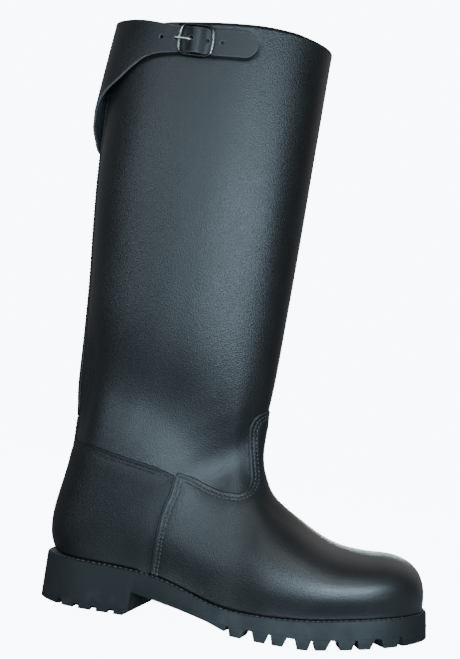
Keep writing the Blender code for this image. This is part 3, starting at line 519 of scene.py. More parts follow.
def back_round(x, z):
    """Share of the full width that the rounded heel and calf leave at a place in side view."""
    heel_length, squareness = HEEL_ROUND
    grown = smoothstep(SEAM_Z(0.0), CALF_HEIGHT, z)
    length = heel_length - SETBACK + (CALF_ROUND - heel_length + SETBACK) * grown
    return round_end(x - BACK_X(z), length, squareness)


def half_outlines(v, side):
    """One half of the sections at all stations v, from the ridge down to the base or round to the back."""
    at = {name: curve(v)[:, None] for name, curve in SECTION_AT.items()}
    name = "lateral" if side < 0 else "medial"
    width, base_width = at[name], at["base_" + name]
    turn = np.linspace(0.0, math.pi / 2, HALF_SAMPLES)[None, :]
    cosine, sine = np.maximum(np.cos(turn), 0.0), np.sin(turn)
    rise = 1 - sine
    crown_height = at["widest"] + (1 - at["widest"]) * cosine ** (2 / at["crown"])
    crown_width = width * sine ** (2 / at["crown"])
    lower_width = base_width + (width - base_width) * rise * rise * (3 - 2 * rise)
    height = np.concatenate((crown_height, (at["widest"] * rise)[:, 1:]), axis=1)
    reach = np.concatenate((crown_width, lower_width[:, 1:]), axis=1)
    x = at["base_x"] + height * (at["front_x"] - at["base_x"])
    z = at["base_z"] + height * (at["front_z"] - at["base_z"])
    return np.stack((x, at["centre"] + side * reach * back_round(x, z), z), axis=2)


def along(points):
    """Distance of each point from the first of its row."""
    steps = np.linalg.norm(np.diff(points, axis=-2), axis=-1)
    return np.concatenate((np.zeros(steps.shape[:-1] + (1,)), np.cumsum(steps, axis=-1)), axis=-1)


def resampled(points, travel, wanted):
    """Points of a line at the wanted distances along it."""
    return np.column_stack([np.interp(wanted, travel, points[:, k]) for k in range(3)])


def raise_rim(grid):
    """The rim's gentle rise and fall, faded out downwards."""
    grid[..., 2] += RIM_RISE(grid[..., 0]) * smoothstep(*RIM_FADE, grid[..., 2])


def upper_rows(v, turns):
    """Grid of points: a row for each station, a column for each turn from -1 over the ridge to 1."""
    grid = np.empty((len(v), len(turns), 3))
    for side in (-1, 1):
        points = half_outlines(v, side)
        travel = along(points)
        chosen = turns < 0 if side < 0 else turns >= 0
        for i in range(len(v)):
            grid[i, chosen] = resampled(points[i], travel[i], np.abs(turns[chosen]) * travel[i, -1])
    raise_rim(grid)
    return grid


TOE_STEP, ROW_STEP, ROUND_STEPS = 1.0, 2.2, 132
TOE_REACH = (45.0, 130.0)
TOP_REACH, TOP_STEP, BELOW_RIM = 36.0, 0.8, 2.3
SMOOTHING, SMOOTH_SHARE = 10, 0.25
RIM_ROWS = (1.6, 1.0, 0.6, 0.3, 0.1)
top_rows = np.append(np.arange(-TOP_REACH, -BELOW_RIM, TOP_STEP), 0.0) + STATIONS[-1]
stations = [0.0]
while stations[-1] + ROW_STEP < top_rows[0]:
    coarser = smoothstep(*TOE_REACH, stations[-1])
    stations.append(stations[-1] + TOE_STEP + (ROW_STEP - TOE_STEP) * coarser)
stations = np.append(stations, top_rows)
grid = upper_rows(stations, np.linspace(-1.0, 1.0, ROUND_STEPS + 1))
for _ in range(SMOOTHING):
    grid[1:-1] += SMOOTH_SHARE * (grid[:-2] - 2 * grid[1:-1] + grid[2:])
rim_step = grid[-1] - grid[-2]
rim_size = np.linalg.norm(rim_step, axis=1)[:, None]
rim_rows = [grid[-1] - rim_step / rim_size * below for below in RIM_ROWS]
grid = np.concatenate((grid[:-1], np.array(rim_rows), grid[-1:]))
stations = np.concatenate((stations[:-1], stations[-1] - np.array(RIM_ROWS), stations[-1:]))
print("outer face:", grid.shape[0], "rows of", grid.shape[1])

# %% [markdown]
# The grid becomes one surface of triangles. Rows of the shaft close round the back seam, so their first
# and last points are one, and the rows of the toe run into one point at its tip. Outward directions at
# each point are kept beside the surface: every layer of leather is an offset along them.

# %% Surface helpers
def outward(points, triangles):
    """Direction square to the surface at each point, weighted by the faces round it."""
    a, b, c = (points[triangles[:, k]] for k in range(3))
    across = np.cross(b - a, c - a)
    total = np.zeros_like(points)
    for k in range(3):
        np.add.at(total, triangles[:, k], across)
    return total / np.maximum(np.linalg.norm(total, axis=1), 1e-12)[:, None]


def grid_triangles(index):
    """Two triangles for each square of a grid of point numbers, without those that have no area."""
    a, b, c, d = index[:-1, :-1], index[:-1, 1:], index[1:, 1:], index[1:, :-1]
    t = np.concatenate([np.stack(corners, axis=2).reshape(-1, 3) for corners in ((a, b, c), (a, c, d))])
    return t[(t[:, 0] != t[:, 1]) & (t[:, 1] != t[:, 2]) & (t[:, 2] != t[:, 0])]


rows, columns = grid.shape[:2]
index = np.arange(rows * columns).reshape(rows, columns)
closed = stations >= CLOSED_FROM
grid[closed, 0, 1] = grid[closed, -1, 1] = 0.0
index[closed, -1] = index[closed, 0]
index[0, :] = index[0, 0]
face_points = grid.reshape(-1, 3)
face_triangles = grid_triangles(index)
face_out = outward(face_points, face_triangles)
face_below_rim = np.repeat(stations[-1] - stations, columns)
print(len(face_triangles), "triangles on the outer face")

# %% [markdown]
# ## Creases
# Worn leather keeps a few broad creases where the ankle bends. They are placed in side view, each as a soft
# trough or ridge along a line, with its reach above and below, its depth and its side. Lasting is the share
# of it that fades slowly below the line. A squash under one counts heights for less, so that an upright ridge
# runs out slowly at both ends. A crease moves the surface itself, because light slides over a real hollow in
# a way that a bump map can't show.

# %% Creases of the shaft and vamp
LASTING_REACH = 75.0
CREASE_START = (4.0, 22.0)
CREASE_TURN = 16.0
CREASE_COLUMNS = ("line", "above", "below", "squash", "depth", "lasting", "side")
CREASES = (
    (((18.0, 171.0), (54.0, 165.0), (76.0, 158.0), (100.0, 143.0), (124.0, 122.0)),
     42.0, 26.0, 1.0, -7.6, 0.5, -1),
    (((135.0, 152.0), (139.5, 122.0)), 8.0, 8.0, 0.25, 1.5, 0.0, -1),
    (((20.0, 172.0), (70.0, 160.0), (118.0, 136.0)), 46.0, 27.0, 1.0, -5.0, 0.5, 1),
    (((70.0, 214.0), (132.0, 186.0)), 15.0, 15.0, 1.0, 1.2, 0.0, 1),
)


def distance_to_segment(points, start, end):
    """Distance in side view from a straight line."""
    start, end = np.array(start, float), np.array(end, float)
    run = end - start
    share = np.clip(((points - start) @ run) / (run @ run), 0.0, 1.0)
    return np.linalg.norm(points - start - share[:, None] * run, axis=1)


def rounded_line(points, per_span=8):
    """Smooth line through given points."""
    points = np.array(points, float)
    travel = along(points)
    places = np.linspace(0.0, travel[-1], per_span * (len(points) - 1) + 1)
    return np.column_stack([through(travel, points[:, k])(places) for k in range(2)])


def distance_to_line(places, line):
    """Distance in side view from a line of points."""
    return np.min([distance_to_segment(places, *ends) for ends in zip(line, line[1:])], axis=0)


for row in CREASES:
    crease = dict(zip(CREASE_COLUMNS, row))
    squash = np.array((1.0, crease["squash"]))
    line = rounded_line(crease["line"])
    away = distance_to_line(face_points[:, [0, 2]] * squash, line * squash)
    on_side = smoothstep(*CREASE_START, crease["side"] * face_points[:, 1])
    line_z = np.interp(face_points[:, 0], *line.T)
    over = smoothstep(-CREASE_TURN, CREASE_TURN, face_points[:, 2] - line_z)
    lasting = crease["lasting"] * np.exp(-(away / LASTING_REACH) ** 2)
    under = (1 - crease["lasting"]) * np.exp(-(away / crease["below"]) ** 2) + lasting
    share = over * np.exp(-(away / crease["above"]) ** 2) + (1 - over) * under
    moved = crease["depth"] * share * on_side
    face_points = face_points + moved[:, None] * face_out
face_out = outward(face_points, face_triangles)
print(len(CREASES), "creases")

# %% [markdown]
# The strap is cut flat, as a maker would lay it out: distance round from the back seam against height, in a
# table of rungs across it. It is drawn here already, because pulled tight it presses a shallow groove into
# the shaft along its edges, and that groove is what draws its outline in the picture.

# %% Strap laid out flat
STRAP_COLUMNS = ("low_round", "low_z", "high_round", "high_z")
STRAP = (
    (-52.0, 372.0, -52.0, 454.6),
    (-42.0, 366.0, -42.0, 454.6),
    (-31.0, 359.0, -32.0, 454.6),
    (-21.0, 354.0, -23.0, 454.6),
    (-12.0, 352.5, -14.5, 454.6),
    (-5.5, 357.0, -6.0, 454.6),
    (-2.5, 367.0, 3.0, 454.6),
    (1.0, 377.5, 11.0, 454.6),
    (7.0, 385.0, 19.0, 454.6),
    (16.0, 391.5, 27.0, 454.6),
    (24.0, 398.0, 33.0, 454.6),
    (35.0, 406.5, 42.0, 454.5),
    (47.0, 418.0, 51.0, 454.1),
    (56.0, 425.0, 58.0, 453.4),
    (67.0, 428.8, 68.0, 452.2),
    (82.0, 430.6, 82.0, 451.0),
    (95.0, 431.2, 95.0, 450.6),
    (108.0, 431.4, 108.0, 450.9),
    (120.0, 432.0, 120.0, 451.8),
    (132.0, 432.8, 132.0, 452.6),
)
EDGE_OFFSETS = np.array((0.0, 0.05, 0.17, 0.34, 0.6, 1.0))
STRAP_TIP, TIP_BLUNT, TIP_RUNGS = 9.5, 0.15, 21
RUNG_STEP = 0.8
spacing = column(STRAP, STRAP_COLUMNS, "high_round")
rung_at = [through(spacing, column(STRAP, STRAP_COLUMNS, name)) for name in STRAP_COLUMNS]
first_rungs = spacing[0] + EDGE_OFFSETS
further = np.arange(first_rungs[-1], spacing[-1], RUNG_STEP)
places = np.concatenate((first_rungs[:-1], further, spacing[-1:]))
rungs = np.column_stack([curve(places) for curve in rung_at])
tip_middle, tip_half = rungs[-1, [1, 3]].mean(), np.ptp(rungs[-1, [1, 3]]) / 2
tip_turns = np.sin(np.linspace(0.0, math.pi / 2, TIP_RUNGS + 1)[1:]) * math.pi / 2
tip_reach = np.maximum(tip_half * np.cos(tip_turns), TIP_BLUNT)
tip_place = spacing[-1] + STRAP_TIP * np.sin(tip_turns)
tip = np.column_stack((tip_place, tip_middle - tip_reach, tip_place, tip_middle + tip_reach))
rungs = np.concatenate((rungs, tip))
strap_outline = np.concatenate((rungs[:, :2], rungs[::-1, 2:]))


def inside_distance(places, outline):
    """Distance from a closed outline in side view, positive inside it."""
    outline = np.asarray(outline, float)
    nearest = np.full(len(places), np.inf)
    within = np.zeros(len(places), bool)
    for start, end in zip(outline, np.roll(outline, -1, axis=0)):
        if np.allclose(start, end):
            continue
        nearest = np.minimum(nearest, distance_to_segment(places, start, end))
        crosses = (start[1] > places[:, 1]) != (end[1] > places[:, 1])
        run, rise = end - start
        edge_x = start[0] + (places[:, 1] - start[1]) * run / (rise if rise else 1.0)
        within ^= crosses & (places[:, 0] < edge_x)
    return np.where(within, nearest, -nearest)


PRESS_DEPTH, PRESS_REACH, PRESS_ROUND = 0.9, 1.7, (44.0, 62.0)
middle = columns // 2
lateral_round, medial_round = along(grid[:, :middle + 1]), along(grid[:, :middle:-1])
round_from_back = np.concatenate((lateral_round, -medial_round[:, ::-1]), axis=1)
flat_places = np.column_stack((round_from_back.ravel(), face_points[:, 2]))
near = flat_places[:, 1] > STRAP[0][1]
press = np.zeros(len(face_points))
outside = np.minimum(inside_distance(flat_places[near], strap_outline), 0.0)
press[near] = np.exp(-(outside / PRESS_REACH) ** 2) * smoothstep(*PRESS_ROUND, flat_places[near, 0])
face_points = face_points - face_out * (PRESS_DEPTH * press)[:, None]
face_out = outward(face_points, face_triangles)
print("strap laid out,", len(rungs), "rungs")

# %% [markdown]
# Every leather piece is a closed skin: an outer and an inner offset of the same triangles, joined where
# the piece ends. Where both offsets are equal their points are one, which gives a thinned, rounded edge
# instead of a sharp wall. Built as arrays, a piece of fifty thousand faces takes well under a second.

# %% Closed skins
BODY = "root"
ONE_POINT = 1e-6


def open_edges(triangles):
    """Edges that only one triangle has, each in that triangle's direction."""
    edges = np.concatenate([triangles[:, [0, 1]], triangles[:, [1, 2]], triangles[:, [2, 0]]])
    size = edges.max() + 1
    there = edges[:, 0] * size + edges[:, 1]
    back = edges[:, 1] * size + edges[:, 0]
    return edges[~np.isin(back, there)]


def closed_skin(points, out, triangles, outer, inner):
    """Points and triangles of the body between two offsets of an open surface."""
    count = len(points)
    second = np.where(np.abs(outer - inner) < ONE_POINT, np.arange(count), np.arange(count) + count)
    a, b = open_edges(triangles).T
    w = np.concatenate((np.column_stack((b, a, second[a])), np.column_stack((b, second[a], second[b]))))
    walls = w[(w[:, 0] != w[:, 2]) & (w[:, 1] != w[:, 2]) & (w[:, 0] != w[:, 1])]
    both = np.concatenate((points + out * outer[:, None], points + out * inner[:, None]))
    faces = np.concatenate((triangles, second[triangles[:, ::-1]], walls))
    return both, faces


def make_piece(name, points, triangles, material, marks=None):
    """Mesh object from arrays in millimetres; marks are numbers kept at each point for its material."""
    used, faces = np.unique(triangles, return_inverse=True)
    mesh = bpy.data.meshes.new(name)
    mesh.from_pydata(placed(points[used]).tolist(), [], faces.reshape(-1, 3).tolist())
    for mark, values in (marks or {}).items():
        layer = mesh.attributes.new(mark, "FLOAT", "POINT")
        layer.data.foreach_set("value", np.asarray(values, float)[used])
    mesh.materials.append(material)
    mesh.shade_smooth()
    return add_object(name, mesh)


def dress(thing, slot, *nodes):
    """The piece rides on the boot and stands for the given solids; slot is not used."""
    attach(thing, BODY)
    if nodes:
        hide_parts(*nodes)
    print(thing.name, len(thing.data.polygons), "faces")
    return thing


print("pieces ride on", BODY)

# %% [markdown]
# ## Finishes
# Leather has a grain of small pebbles, a slow change of gloss over the hide, and a paler, rougher look along
# cut edges. Rubber is dull with a fine pitted skin. Effects that several materials share are node groups with
# named inputs, placed in each material with its own values. All patterns read Object coordinates in
# millimetres, so that a size in the code is a size on the boot.

# %% Group helpers
def new_group(name, inputs, outputs):
    """Empty shader group with float inputs (name, value) and float outputs."""
    group = bpy.data.node_groups.new(name, "ShaderNodeTree")
    for label, value in inputs:
        socket = group.interface.new_socket(label, in_out="INPUT", socket_type="NodeSocketFloat")
        socket.default_value = value
    for label in outputs:
        group.interface.new_socket(label, in_out="OUTPUT", socket_type="NodeSocketFloat")
    return group, group.nodes.new("NodeGroupInput"), group.nodes.new("NodeGroupOutput")


def object_mm(tree):
    """Object coordinates in millimetres."""
    where = add(tree, "ShaderNodeTexCoord")
    scaled = add(tree, "ShaderNodeVectorMath", {"Scale": 1 / MM}, operation="SCALE")
    tree.links.new(where.outputs["Object"], scaled.inputs[0])
    return scaled.outputs["Vector"]


def one_axis(tree, vector, axis):
    """One of a vector's three numbers."""
    parts = add(tree, "ShaderNodeSeparateXYZ")
    tree.links.new(vector, parts.inputs["Vector"])
    return parts.outputs[axis]


def noise(tree, vector, size, detail):
    """Noise with features of a size in millimetres."""
    node = add(tree, "ShaderNodeTexNoise", {"Scale": 1 / size, "Detail": detail})
    tree.links.new(vector, node.inputs["Vector"])
    return node


print("group helpers ready")

# %% [markdown]
# Grain is what tells leather from plastic. Smooth cells of about a millimetre stand for its pebbles, and a
# slow noise bends them first, so that they never line up. Fine pores lie over them. The same group gives a
# broad cloud, which every leather uses for its change of tone and gloss over the hide.

# %% Group: leather grain
GRAIN_WANDER = 1 / 0.35
CELL_SMOOTH, CELL_RANGE = 0.6, (0.05, 0.75)
PORE_SIZE, PORE_SHARE, CLOUD_SIZE = 0.6, 0.35, 38.0


def leather_grain_group():
    """Pebbled height, and a slow cloud over the hide."""
    inputs = [("Pebble", 1.5), ("Fine", PORE_SHARE)]
    group, given, made = new_group("leather grain", inputs, ["Height", "Cloud"])
    where = object_mm(group)
    wander = noise(group, where, GRAIN_WANDER, detail=1.0)
    bent = add(group, "ShaderNodeVectorMath", operation="ADD")
    group.links.new(where, bent.inputs[0])
    group.links.new(wander.outputs["Color"], bent.inputs[1])
    scale = math_node(group, "DIVIDE", 1.0, given.outputs["Pebble"])
    cells = add(group, "ShaderNodeTexVoronoi", {"Smoothness": CELL_SMOOTH}, feature="SMOOTH_F1")
    group.links.new(bent.outputs["Vector"], cells.inputs["Vector"])
    group.links.new(scale, cells.inputs["Scale"])
    pebble = remap(group, cells.outputs["Distance"], *CELL_RANGE, 1.0, 0.0)
    pores = noise(group, where, PORE_SIZE, detail=3.0).outputs["Fac"]
    fine = math_node(group, "MULTIPLY", pores, given.outputs["Fine"])
    group.links.new(math_node(group, "ADD", pebble, fine), made.inputs["Height"])
    group.links.new(noise(group, where, CLOUD_SIZE, detail=4.0).outputs["Fac"], made.inputs["Cloud"])
    return group


GRAIN = leather_grain_group()
print("group:", GRAIN.name)

# %% [markdown]
# A cut edge shows the bare, paler fibre of the hide. Each panel keeps the distance from its edge as a number
# at its points, and the group turns that into a ragged mask. Painting the edge by hand would have to be done
# again whenever an outline moves.

# %% Group: cut edge
EDGE_RAGGED, RAGGED_SIZE, EDGE_SOFT = 0.8, 2.2, (0.3, 1.0)


def cut_edge_group():
    """Mask of the bare edge of a piece of leather, from the distance kept at its points."""
    group, given, made = new_group("cut edge", [("Reach", 0.9)], ["Mask"])
    edge = add(group, "ShaderNodeAttribute", attribute_name="from_edge")
    uneven = noise(group, object_mm(group), RAGGED_SIZE, detail=2.0).outputs["Fac"]
    ragged = math_node(group, "MULTIPLY_ADD", uneven, EDGE_RAGGED)
    ragged.node.inputs[2].default_value = -EDGE_RAGGED / 2
    shifted = math_node(group, "ADD", edge.outputs["Fac"], ragged)
    share = math_node(group, "DIVIDE", shifted, given.outputs["Reach"])
    group.links.new(remap(group, share, *EDGE_SOFT, 1.0, 0.0), made.inputs["Mask"])
    return group


CUT_EDGE = cut_edge_group()
print("group:", CUT_EDGE.name)

# %% [markdown]
# A boot that has been walked in is dusty near the floor. The dust thins out upwards and lies in patches, so
# its mask is a height, softened, times a noise.

# %% Group: dust
PATCH_SIZE, PATCH_RANGE = 9.0, (0.45, 0.75)


def dust_group():
    """Mask of the dust that gathers low on the boot, in patches."""
    group, given, made = new_group("dust", [("Top", 60.0), ("Amount", 0.3)], ["Mask"])
    where = object_mm(group)
    low = math_node(group, "DIVIDE", one_axis(group, where, "Z"), given.outputs["Top"])
    near_floor = remap(group, low, 0.0, 1.0, 1.0, 0.0)
    patches = remap(group, noise(group, where, PATCH_SIZE, detail=5.0).outputs["Fac"], *PATCH_RANGE)
    dust = math_node(group, "MULTIPLY", near_floor, patches)
    group.links.new(math_node(group, "MULTIPLY", dust, given.outputs["Amount"]), made.inputs["Mask"])
    return group


DUST = dust_group()
print("group:", DUST.name)

# %% [markdown]
# Every material below has the same start: one shader, a mix of two tones and a bump. Base colour and
# roughness come from the groups. What is the same all over, such as the roughness of a coat, is set on the
# shader.

# %% Material helpers
def new_material(name):
    """Material with its node tree and its shader."""
    material = bpy.data.materials.new(name)
    material.use_nodes = True
    return material, material.node_tree, material.node_tree.nodes["Principled BSDF"]


def mix_colour(tree, factor, first, second):
    """Colour between two colours or sockets."""
    node = add(tree, "ShaderNodeMix", data_type="RGBA")
    tree.links.new(factor, node.inputs[0])
    for place, item in ((6, first), (7, second)):
        if isinstance(item, tuple):
            node.inputs[place].default_value = (*item, 1.0)
        else:
            tree.links.new(item, node.inputs[place])
    return node.outputs[2]


def place_group(tree, group, **values):
    """Outputs of a shared group, placed with its own values."""
    return add(tree, "ShaderNodeGroup", values, node_tree=group).outputs


def rougher(tree, rough, mask, amount):
    """Roughness raised where a mask is."""
    return math_node(tree, "ADD", rough, math_node(tree, "MULTIPLY", mask, amount))


def bumped(tree, shader, height, depth, strength=0.5):
    """Bump of a depth in millimetres on the shader's normal."""
    bump = add(tree, "ShaderNodeBump", {"Distance": depth * MM, "Strength": strength})
    tree.links.new(height, bump.inputs["Height"])
    tree.links.new(bump.outputs["Normal"], shader.inputs["Normal"])


print("material helpers ready")

# %% [markdown]
# Black leather is nearly all gloss: its dye takes the light, and what shows is the sheen, broken up by the
# grain. The toe is waxed, which gives it a coat that the shaft has little of, and the counter is duller. The
# strap's cut edge and flesh side are bare, and the lining is undyed. The flesh side is also made paler as
# painted light, since it lines the strap's inner face, which faces the shaft and lies in shade. The vamp's
# pale cut edge is partly painted highlight, for the light that its edge catches. One function makes all of
# them from a row of the table.

# %% Leather materials
DUST_COLOUR = (0.20, 0.18, 0.155)
TOE_WAXED = (0.0, 90.0)
COAT_ROUGHNESS = 0.44
WAX_SMOOTHS, EDGE_ROUGHENS, DUST_ROUGHENS = 0.05, 0.2, 0.3
CLOUD_RANGE = (0.3, 0.7)
BLACK, BLACK_BLOOM = (0.0055, 0.0058, 0.0060), (0.0080, 0.0082, 0.0084)
LEATHER_COLUMNS = ("name", "hide", "bloom", "gloss",
                   "pebble", "depth", "bare", "dusty", "coat", "wax", "sheen")
LEATHERS = (
    ("shaft leather", (0.0060, 0.0066, 0.0070), (0.0090, 0.0095, 0.0098), (0.40, 0.44),
     1.05, 0.18, (0.05, 0.047, 0.045), 0.0, 0.12, 0.0, 0.5),
    # The vamp's pale cut edge is partly painted highlight, for the light that its edge catches.
    ("vamp leather", (0.0060, 0.0064, 0.0066), (0.0100, 0.0100, 0.0100), (0.40, 0.48),
     1.05, 0.24, (0.03, 0.031, 0.032), 0.04, 0.12, 1.0, 0.5),
    ("counter leather", BLACK, BLACK_BLOOM, (0.46, 0.54), 1.15, 0.12, None, 0.03, 0.0, 0.0, 0.38),
    ("back strip leather", BLACK, BLACK_BLOOM, (0.46, 0.54), 1.15, 0.12, None, 0.0, 0.0, 0.0, 0.42),
    # Flesh side: its grey tone is partly its own and partly painted light on the strap's shaded inner face.
    ("flesh side with painted light", (0.080, 0.090, 0.094), (0.115, 0.125, 0.128), (0.78, 0.88),
     0.8, 0.15, None, 0.0, 0.0, 0.0, 0.5),
    ("strap leather", (0.0065, 0.0068, 0.0074), (0.0095, 0.0098, 0.0102), (0.42, 0.52),
     1.15, 0.12, (0.09, 0.085, 0.08), 0.0, 0.1, 0.0, 0.5),
    ("lining leather", (0.060, 0.050, 0.042), (0.095, 0.080, 0.066), (0.70, 0.82),
     0.9, 0.10, None, 0.0, 0.0, 0.0, 0.5),
    ("insole leather", (0.13, 0.085, 0.050), (0.20, 0.135, 0.085), (0.62, 0.80),
     0.8, 0.10, None, 0.0, 0.0, 0.0, 0.5),
)


def leather_material(name, hide, bloom, gloss, pebble, depth, bare, dusty, coat, wax, sheen):
    """Leather: hide and bloom are its two tones, gloss its range of roughness, bare its cut edge."""
    material, tree, shader = new_material(name)
    grain = place_group(tree, GRAIN, Pebble=pebble)
    colour = mix_colour(tree, remap(tree, grain["Cloud"], *CLOUD_RANGE), hide, bloom)
    rough = remap(tree, grain["Cloud"], *CLOUD_RANGE, *gloss)
    if bare:
        edge = place_group(tree, CUT_EDGE)["Mask"]
        colour = mix_colour(tree, edge, colour, bare)
        rough = rougher(tree, rough, edge, EDGE_ROUGHENS)
    if dusty:
        dust = place_group(tree, DUST, Amount=dusty)["Mask"]
        colour = mix_colour(tree, dust, colour, DUST_COLOUR)
        rough = rougher(tree, rough, dust, DUST_ROUGHENS)
    shader.inputs["Coat Weight"].default_value = coat
    shader.inputs["Coat Roughness"].default_value = COAT_ROUGHNESS
    shader.inputs["Specular IOR Level"].default_value = sheen
    if wax:
        waxed = remap(tree, one_axis(tree, object_mm(tree), "X"), *TOE_WAXED)
        tree.links.new(remap(tree, waxed, 0.0, 1.0, coat, wax), shader.inputs["Coat Weight"])
        rough = rougher(tree, rough, waxed, -WAX_SMOOTHS)
    tree.links.new(colour, shader.inputs["Base Color"])
    tree.links.new(rough, shader.inputs["Roughness"])
    bumped(tree, shader, grain["Height"], depth)
    return material


LEATHER = {row[0]: leather_material(**dict(zip(LEATHER_COLUMNS, row))) for row in LEATHERS}
print(len(LEATHER), "leathers")

# %% [markdown]
# Sole rubber is moulded, so it has a dull skin with fine pits. Under the waist and the ball it is painted
# greyer, in patches: a painted pool of light for the part of the sole that faces the lamps. A map painted by
# hand would have to be stored with the part. A range of places along the foot times a noise does the same.

# %% Rubber
# Painted light: the rubber is greyer under the waist and the ball, a painted pool of light.
LIT_BAND_FROM, LIT_BAND_TO = (-60.0, 20.0), (110.0, 150.0)
BASE_RUBBER, LIT_RUBBER = (0.0085, 0.0098, 0.0104), (0.034, 0.039, 0.041)
PIT_SIZE, PIT_DEPTH = 0.55, 0.10
LIT_PATCH_SIZE, LIT_PATCH_RANGE, LIT_PATCH_LEAST = 16.0, (0.35, 0.7), 0.6
RUBBER_GLOSS = (0.80, 0.70)
SOLE_DUST = {"Top": 26.0, "Amount": 0.10}


def rubber_material():
    """Matt moulded rubber with a pitted skin, painted greyer as light under the waist and the ball."""
    material, tree, shader = new_material("sole rubber")
    where = object_mm(tree)
    forward = one_axis(tree, where, "X")
    # Painted light, in patches, greyer under the waist and the ball.
    lit_band = math_node(tree, "MULTIPLY", remap(tree, forward, *LIT_BAND_FROM),
                       remap(tree, forward, *LIT_BAND_TO, 1.0, 0.0))
    uneven = noise(tree, where, LIT_PATCH_SIZE, detail=5.0).outputs["Fac"]
    paler = math_node(tree, "MULTIPLY", lit_band, remap(tree, uneven, *LIT_PATCH_RANGE, LIT_PATCH_LEAST, 1.0))
    dust = place_group(tree, DUST, **SOLE_DUST)["Mask"]
    colour = mix_colour(tree, paler, BASE_RUBBER, LIT_RUBBER)
    tree.links.new(mix_colour(tree, dust, colour, DUST_COLOUR), shader.inputs["Base Color"])
    tree.links.new(remap(tree, paler, 0.0, 1.0, *RUBBER_GLOSS), shader.inputs["Roughness"])
    bumped(tree, shader, noise(tree, where, PIT_SIZE, detail=4.0).outputs["Fac"], PIT_DEPTH)
    return material


RUBBER = rubber_material()
print("material:", RUBBER.name)

# %% [markdown]
# The buckle is nickel plate. Its top and bottom are painted dark as shade, so that only its upright bars stay
# bright where they catch the light, and the mask is the height from the buckle's middle. Thread is waxed and
# dull, and paler where the seam is rubbed. Both have one worn mask that drives tone and roughness together,
# because on the real thing the same rubbing does both. A second thread is paler all over as a painted glint,
# for the rows that catch the light.

# %% Nickel and thread
WORN_RANGE = (0.35, 0.7)
BAR_SHADE_FADE = (6.0, 10.0)
# Colour of the painted shade on the buckle's top and bottom.
PAINTED_BAR_SHADE = (0.035, 0.036, 0.038)
NICKEL_WEAR, NICKEL_GLOSS, NICKEL_BRUSHED = 2.4, (0.24, 0.42), (0.25, 0.03, 0.3)
THREAD_WEAR, THREAD_GLOSS, THREAD_TWIST = 1.3, (0.40, 0.58), (0.3, 0.08, 0.5)


def worn_material(name, wear, detail, gloss, relief):
    """Material with a worn mask that drives its roughness, and a fine relief of (size, depth, strength)."""
    material, tree, shader = new_material(name)
    where = object_mm(tree)
    worn = remap(tree, noise(tree, where, wear, detail).outputs["Fac"], *WORN_RANGE)
    tree.links.new(remap(tree, worn, 0.0, 1.0, *gloss), shader.inputs["Roughness"])
    size, depth, strength = relief
    bumped(tree, shader, noise(tree, where, size, detail=2.0).outputs["Fac"], depth, strength)
    return material, tree, shader, worn


def nickel_material(name, bright, dark, lit_bar_height=None):
    """Nickel plate with fine brushing and dulled patches, painted dark as shade away from the height of its
    bright upright bars.
    """
    material, tree, shader, dull = worn_material(name, NICKEL_WEAR, 4.0, NICKEL_GLOSS, NICKEL_BRUSHED)
    colour = mix_colour(tree, dull, bright, dark)
    # Painted shade: the frame darkens away from the height of its bright upright bars.
    if lit_bar_height:
        height = one_axis(tree, object_mm(tree), "Z")
        away = math_node(tree, "ABSOLUTE", math_node(tree, "SUBTRACT", height, lit_bar_height), 0.0)
        colour = mix_colour(tree, remap(tree, away, *BAR_SHADE_FADE), colour, PAINTED_BAR_SHADE)
    shader.inputs["Metallic"].default_value = 1.0
    tree.links.new(colour, shader.inputs["Base Color"])
    return material


def thread_material(name, waxed, paler):
    """Waxed thread, with the twist of its plies in the bump."""
    material, tree, shader, worn = worn_material(name, THREAD_WEAR, 3.0, THREAD_GLOSS, THREAD_TWIST)
    tree.links.new(mix_colour(tree, worn, waxed, paler), shader.inputs["Base Color"])
    return material


THREAD = thread_material("waxed thread", (0.008, 0.0085, 0.009), (0.030, 0.031, 0.032))
# Paler thread: its whole tone is a painted glint, for stitch rows that catch the light.
GLINT_THREAD = thread_material("thread with painted glints", (0.036, 0.039, 0.041), (0.115, 0.120, 0.124))
buckle_low, buckle_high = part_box("buckle")
NICKEL = nickel_material("dark nickel", (0.62, 0.63, 0.64), (0.16, 0.16, 0.165),
                         lit_bar_height=(buckle_low.z + buckle_high.z) / 2 / MM)
RUBBED_NICKEL = nickel_material("rubbed nickel", (0.75, 0.76, 0.77), (0.40, 0.40, 0.41))
print("nickel and thread made")

# %% [markdown]
# ## The upper
# Shaft and foot are one wall of leather, 2.2 mm thick, lined inside and open at the rim and underneath.
# The rim is rounded over: towards the top both faces of the wall draw in to its middle. A Solidify modifier
# would give the wall too, but not the rounded rim, nor a number at each point for the bare edge.

# %% Upper with its lining
WALL = 2.2
RIM_ROUND = 1.3


def quarter_round(distance, reach):
    """0 at an edge, 1 from reach on, along a quarter circle."""
    return np.sqrt(1 - (1 - np.clip(distance / reach, 0.0, 1.0)) ** 2)


def line_inside(thing, outer_count, material):
    """Another material on the inner face of a closed skin with the given count of outer triangles."""
    thing.data.materials.append(material)
    which = np.zeros(len(thing.data.polygons), int)
    which[outer_count:2 * outer_count] = 1
    thing.data.polygons.foreach_set("material_index", which)


rounded = quarter_round(face_below_rim, RIM_ROUND)
wall_points, wall_faces = closed_skin(face_points, face_out, face_triangles,
                                      -WALL / 2 * (1 - rounded), -WALL / 2 * (1 + rounded))
upper = make_piece("upper_leather", wall_points, wall_faces, LEATHER["shaft leather"],
                   {"from_edge": np.tile(face_below_rim, 2)})
line_inside(upper, len(face_triangles), LEATHER["lining leather"])
dress(upper, "black_leather", "upper")

# %% [markdown]
# ## Vamp, counter and back strip
# These panels are sewn over the wall. Their edges are drawn in side view and carried over onto both
# sides. For every point of the upper's face a number says how far inside the outline it lies; cutting the
# triangles where that number is zero gives an exact edge, and cutting them at a few more levels gives
# rows of points for the folded edge and for the grooves that the stitches pull into the leather.

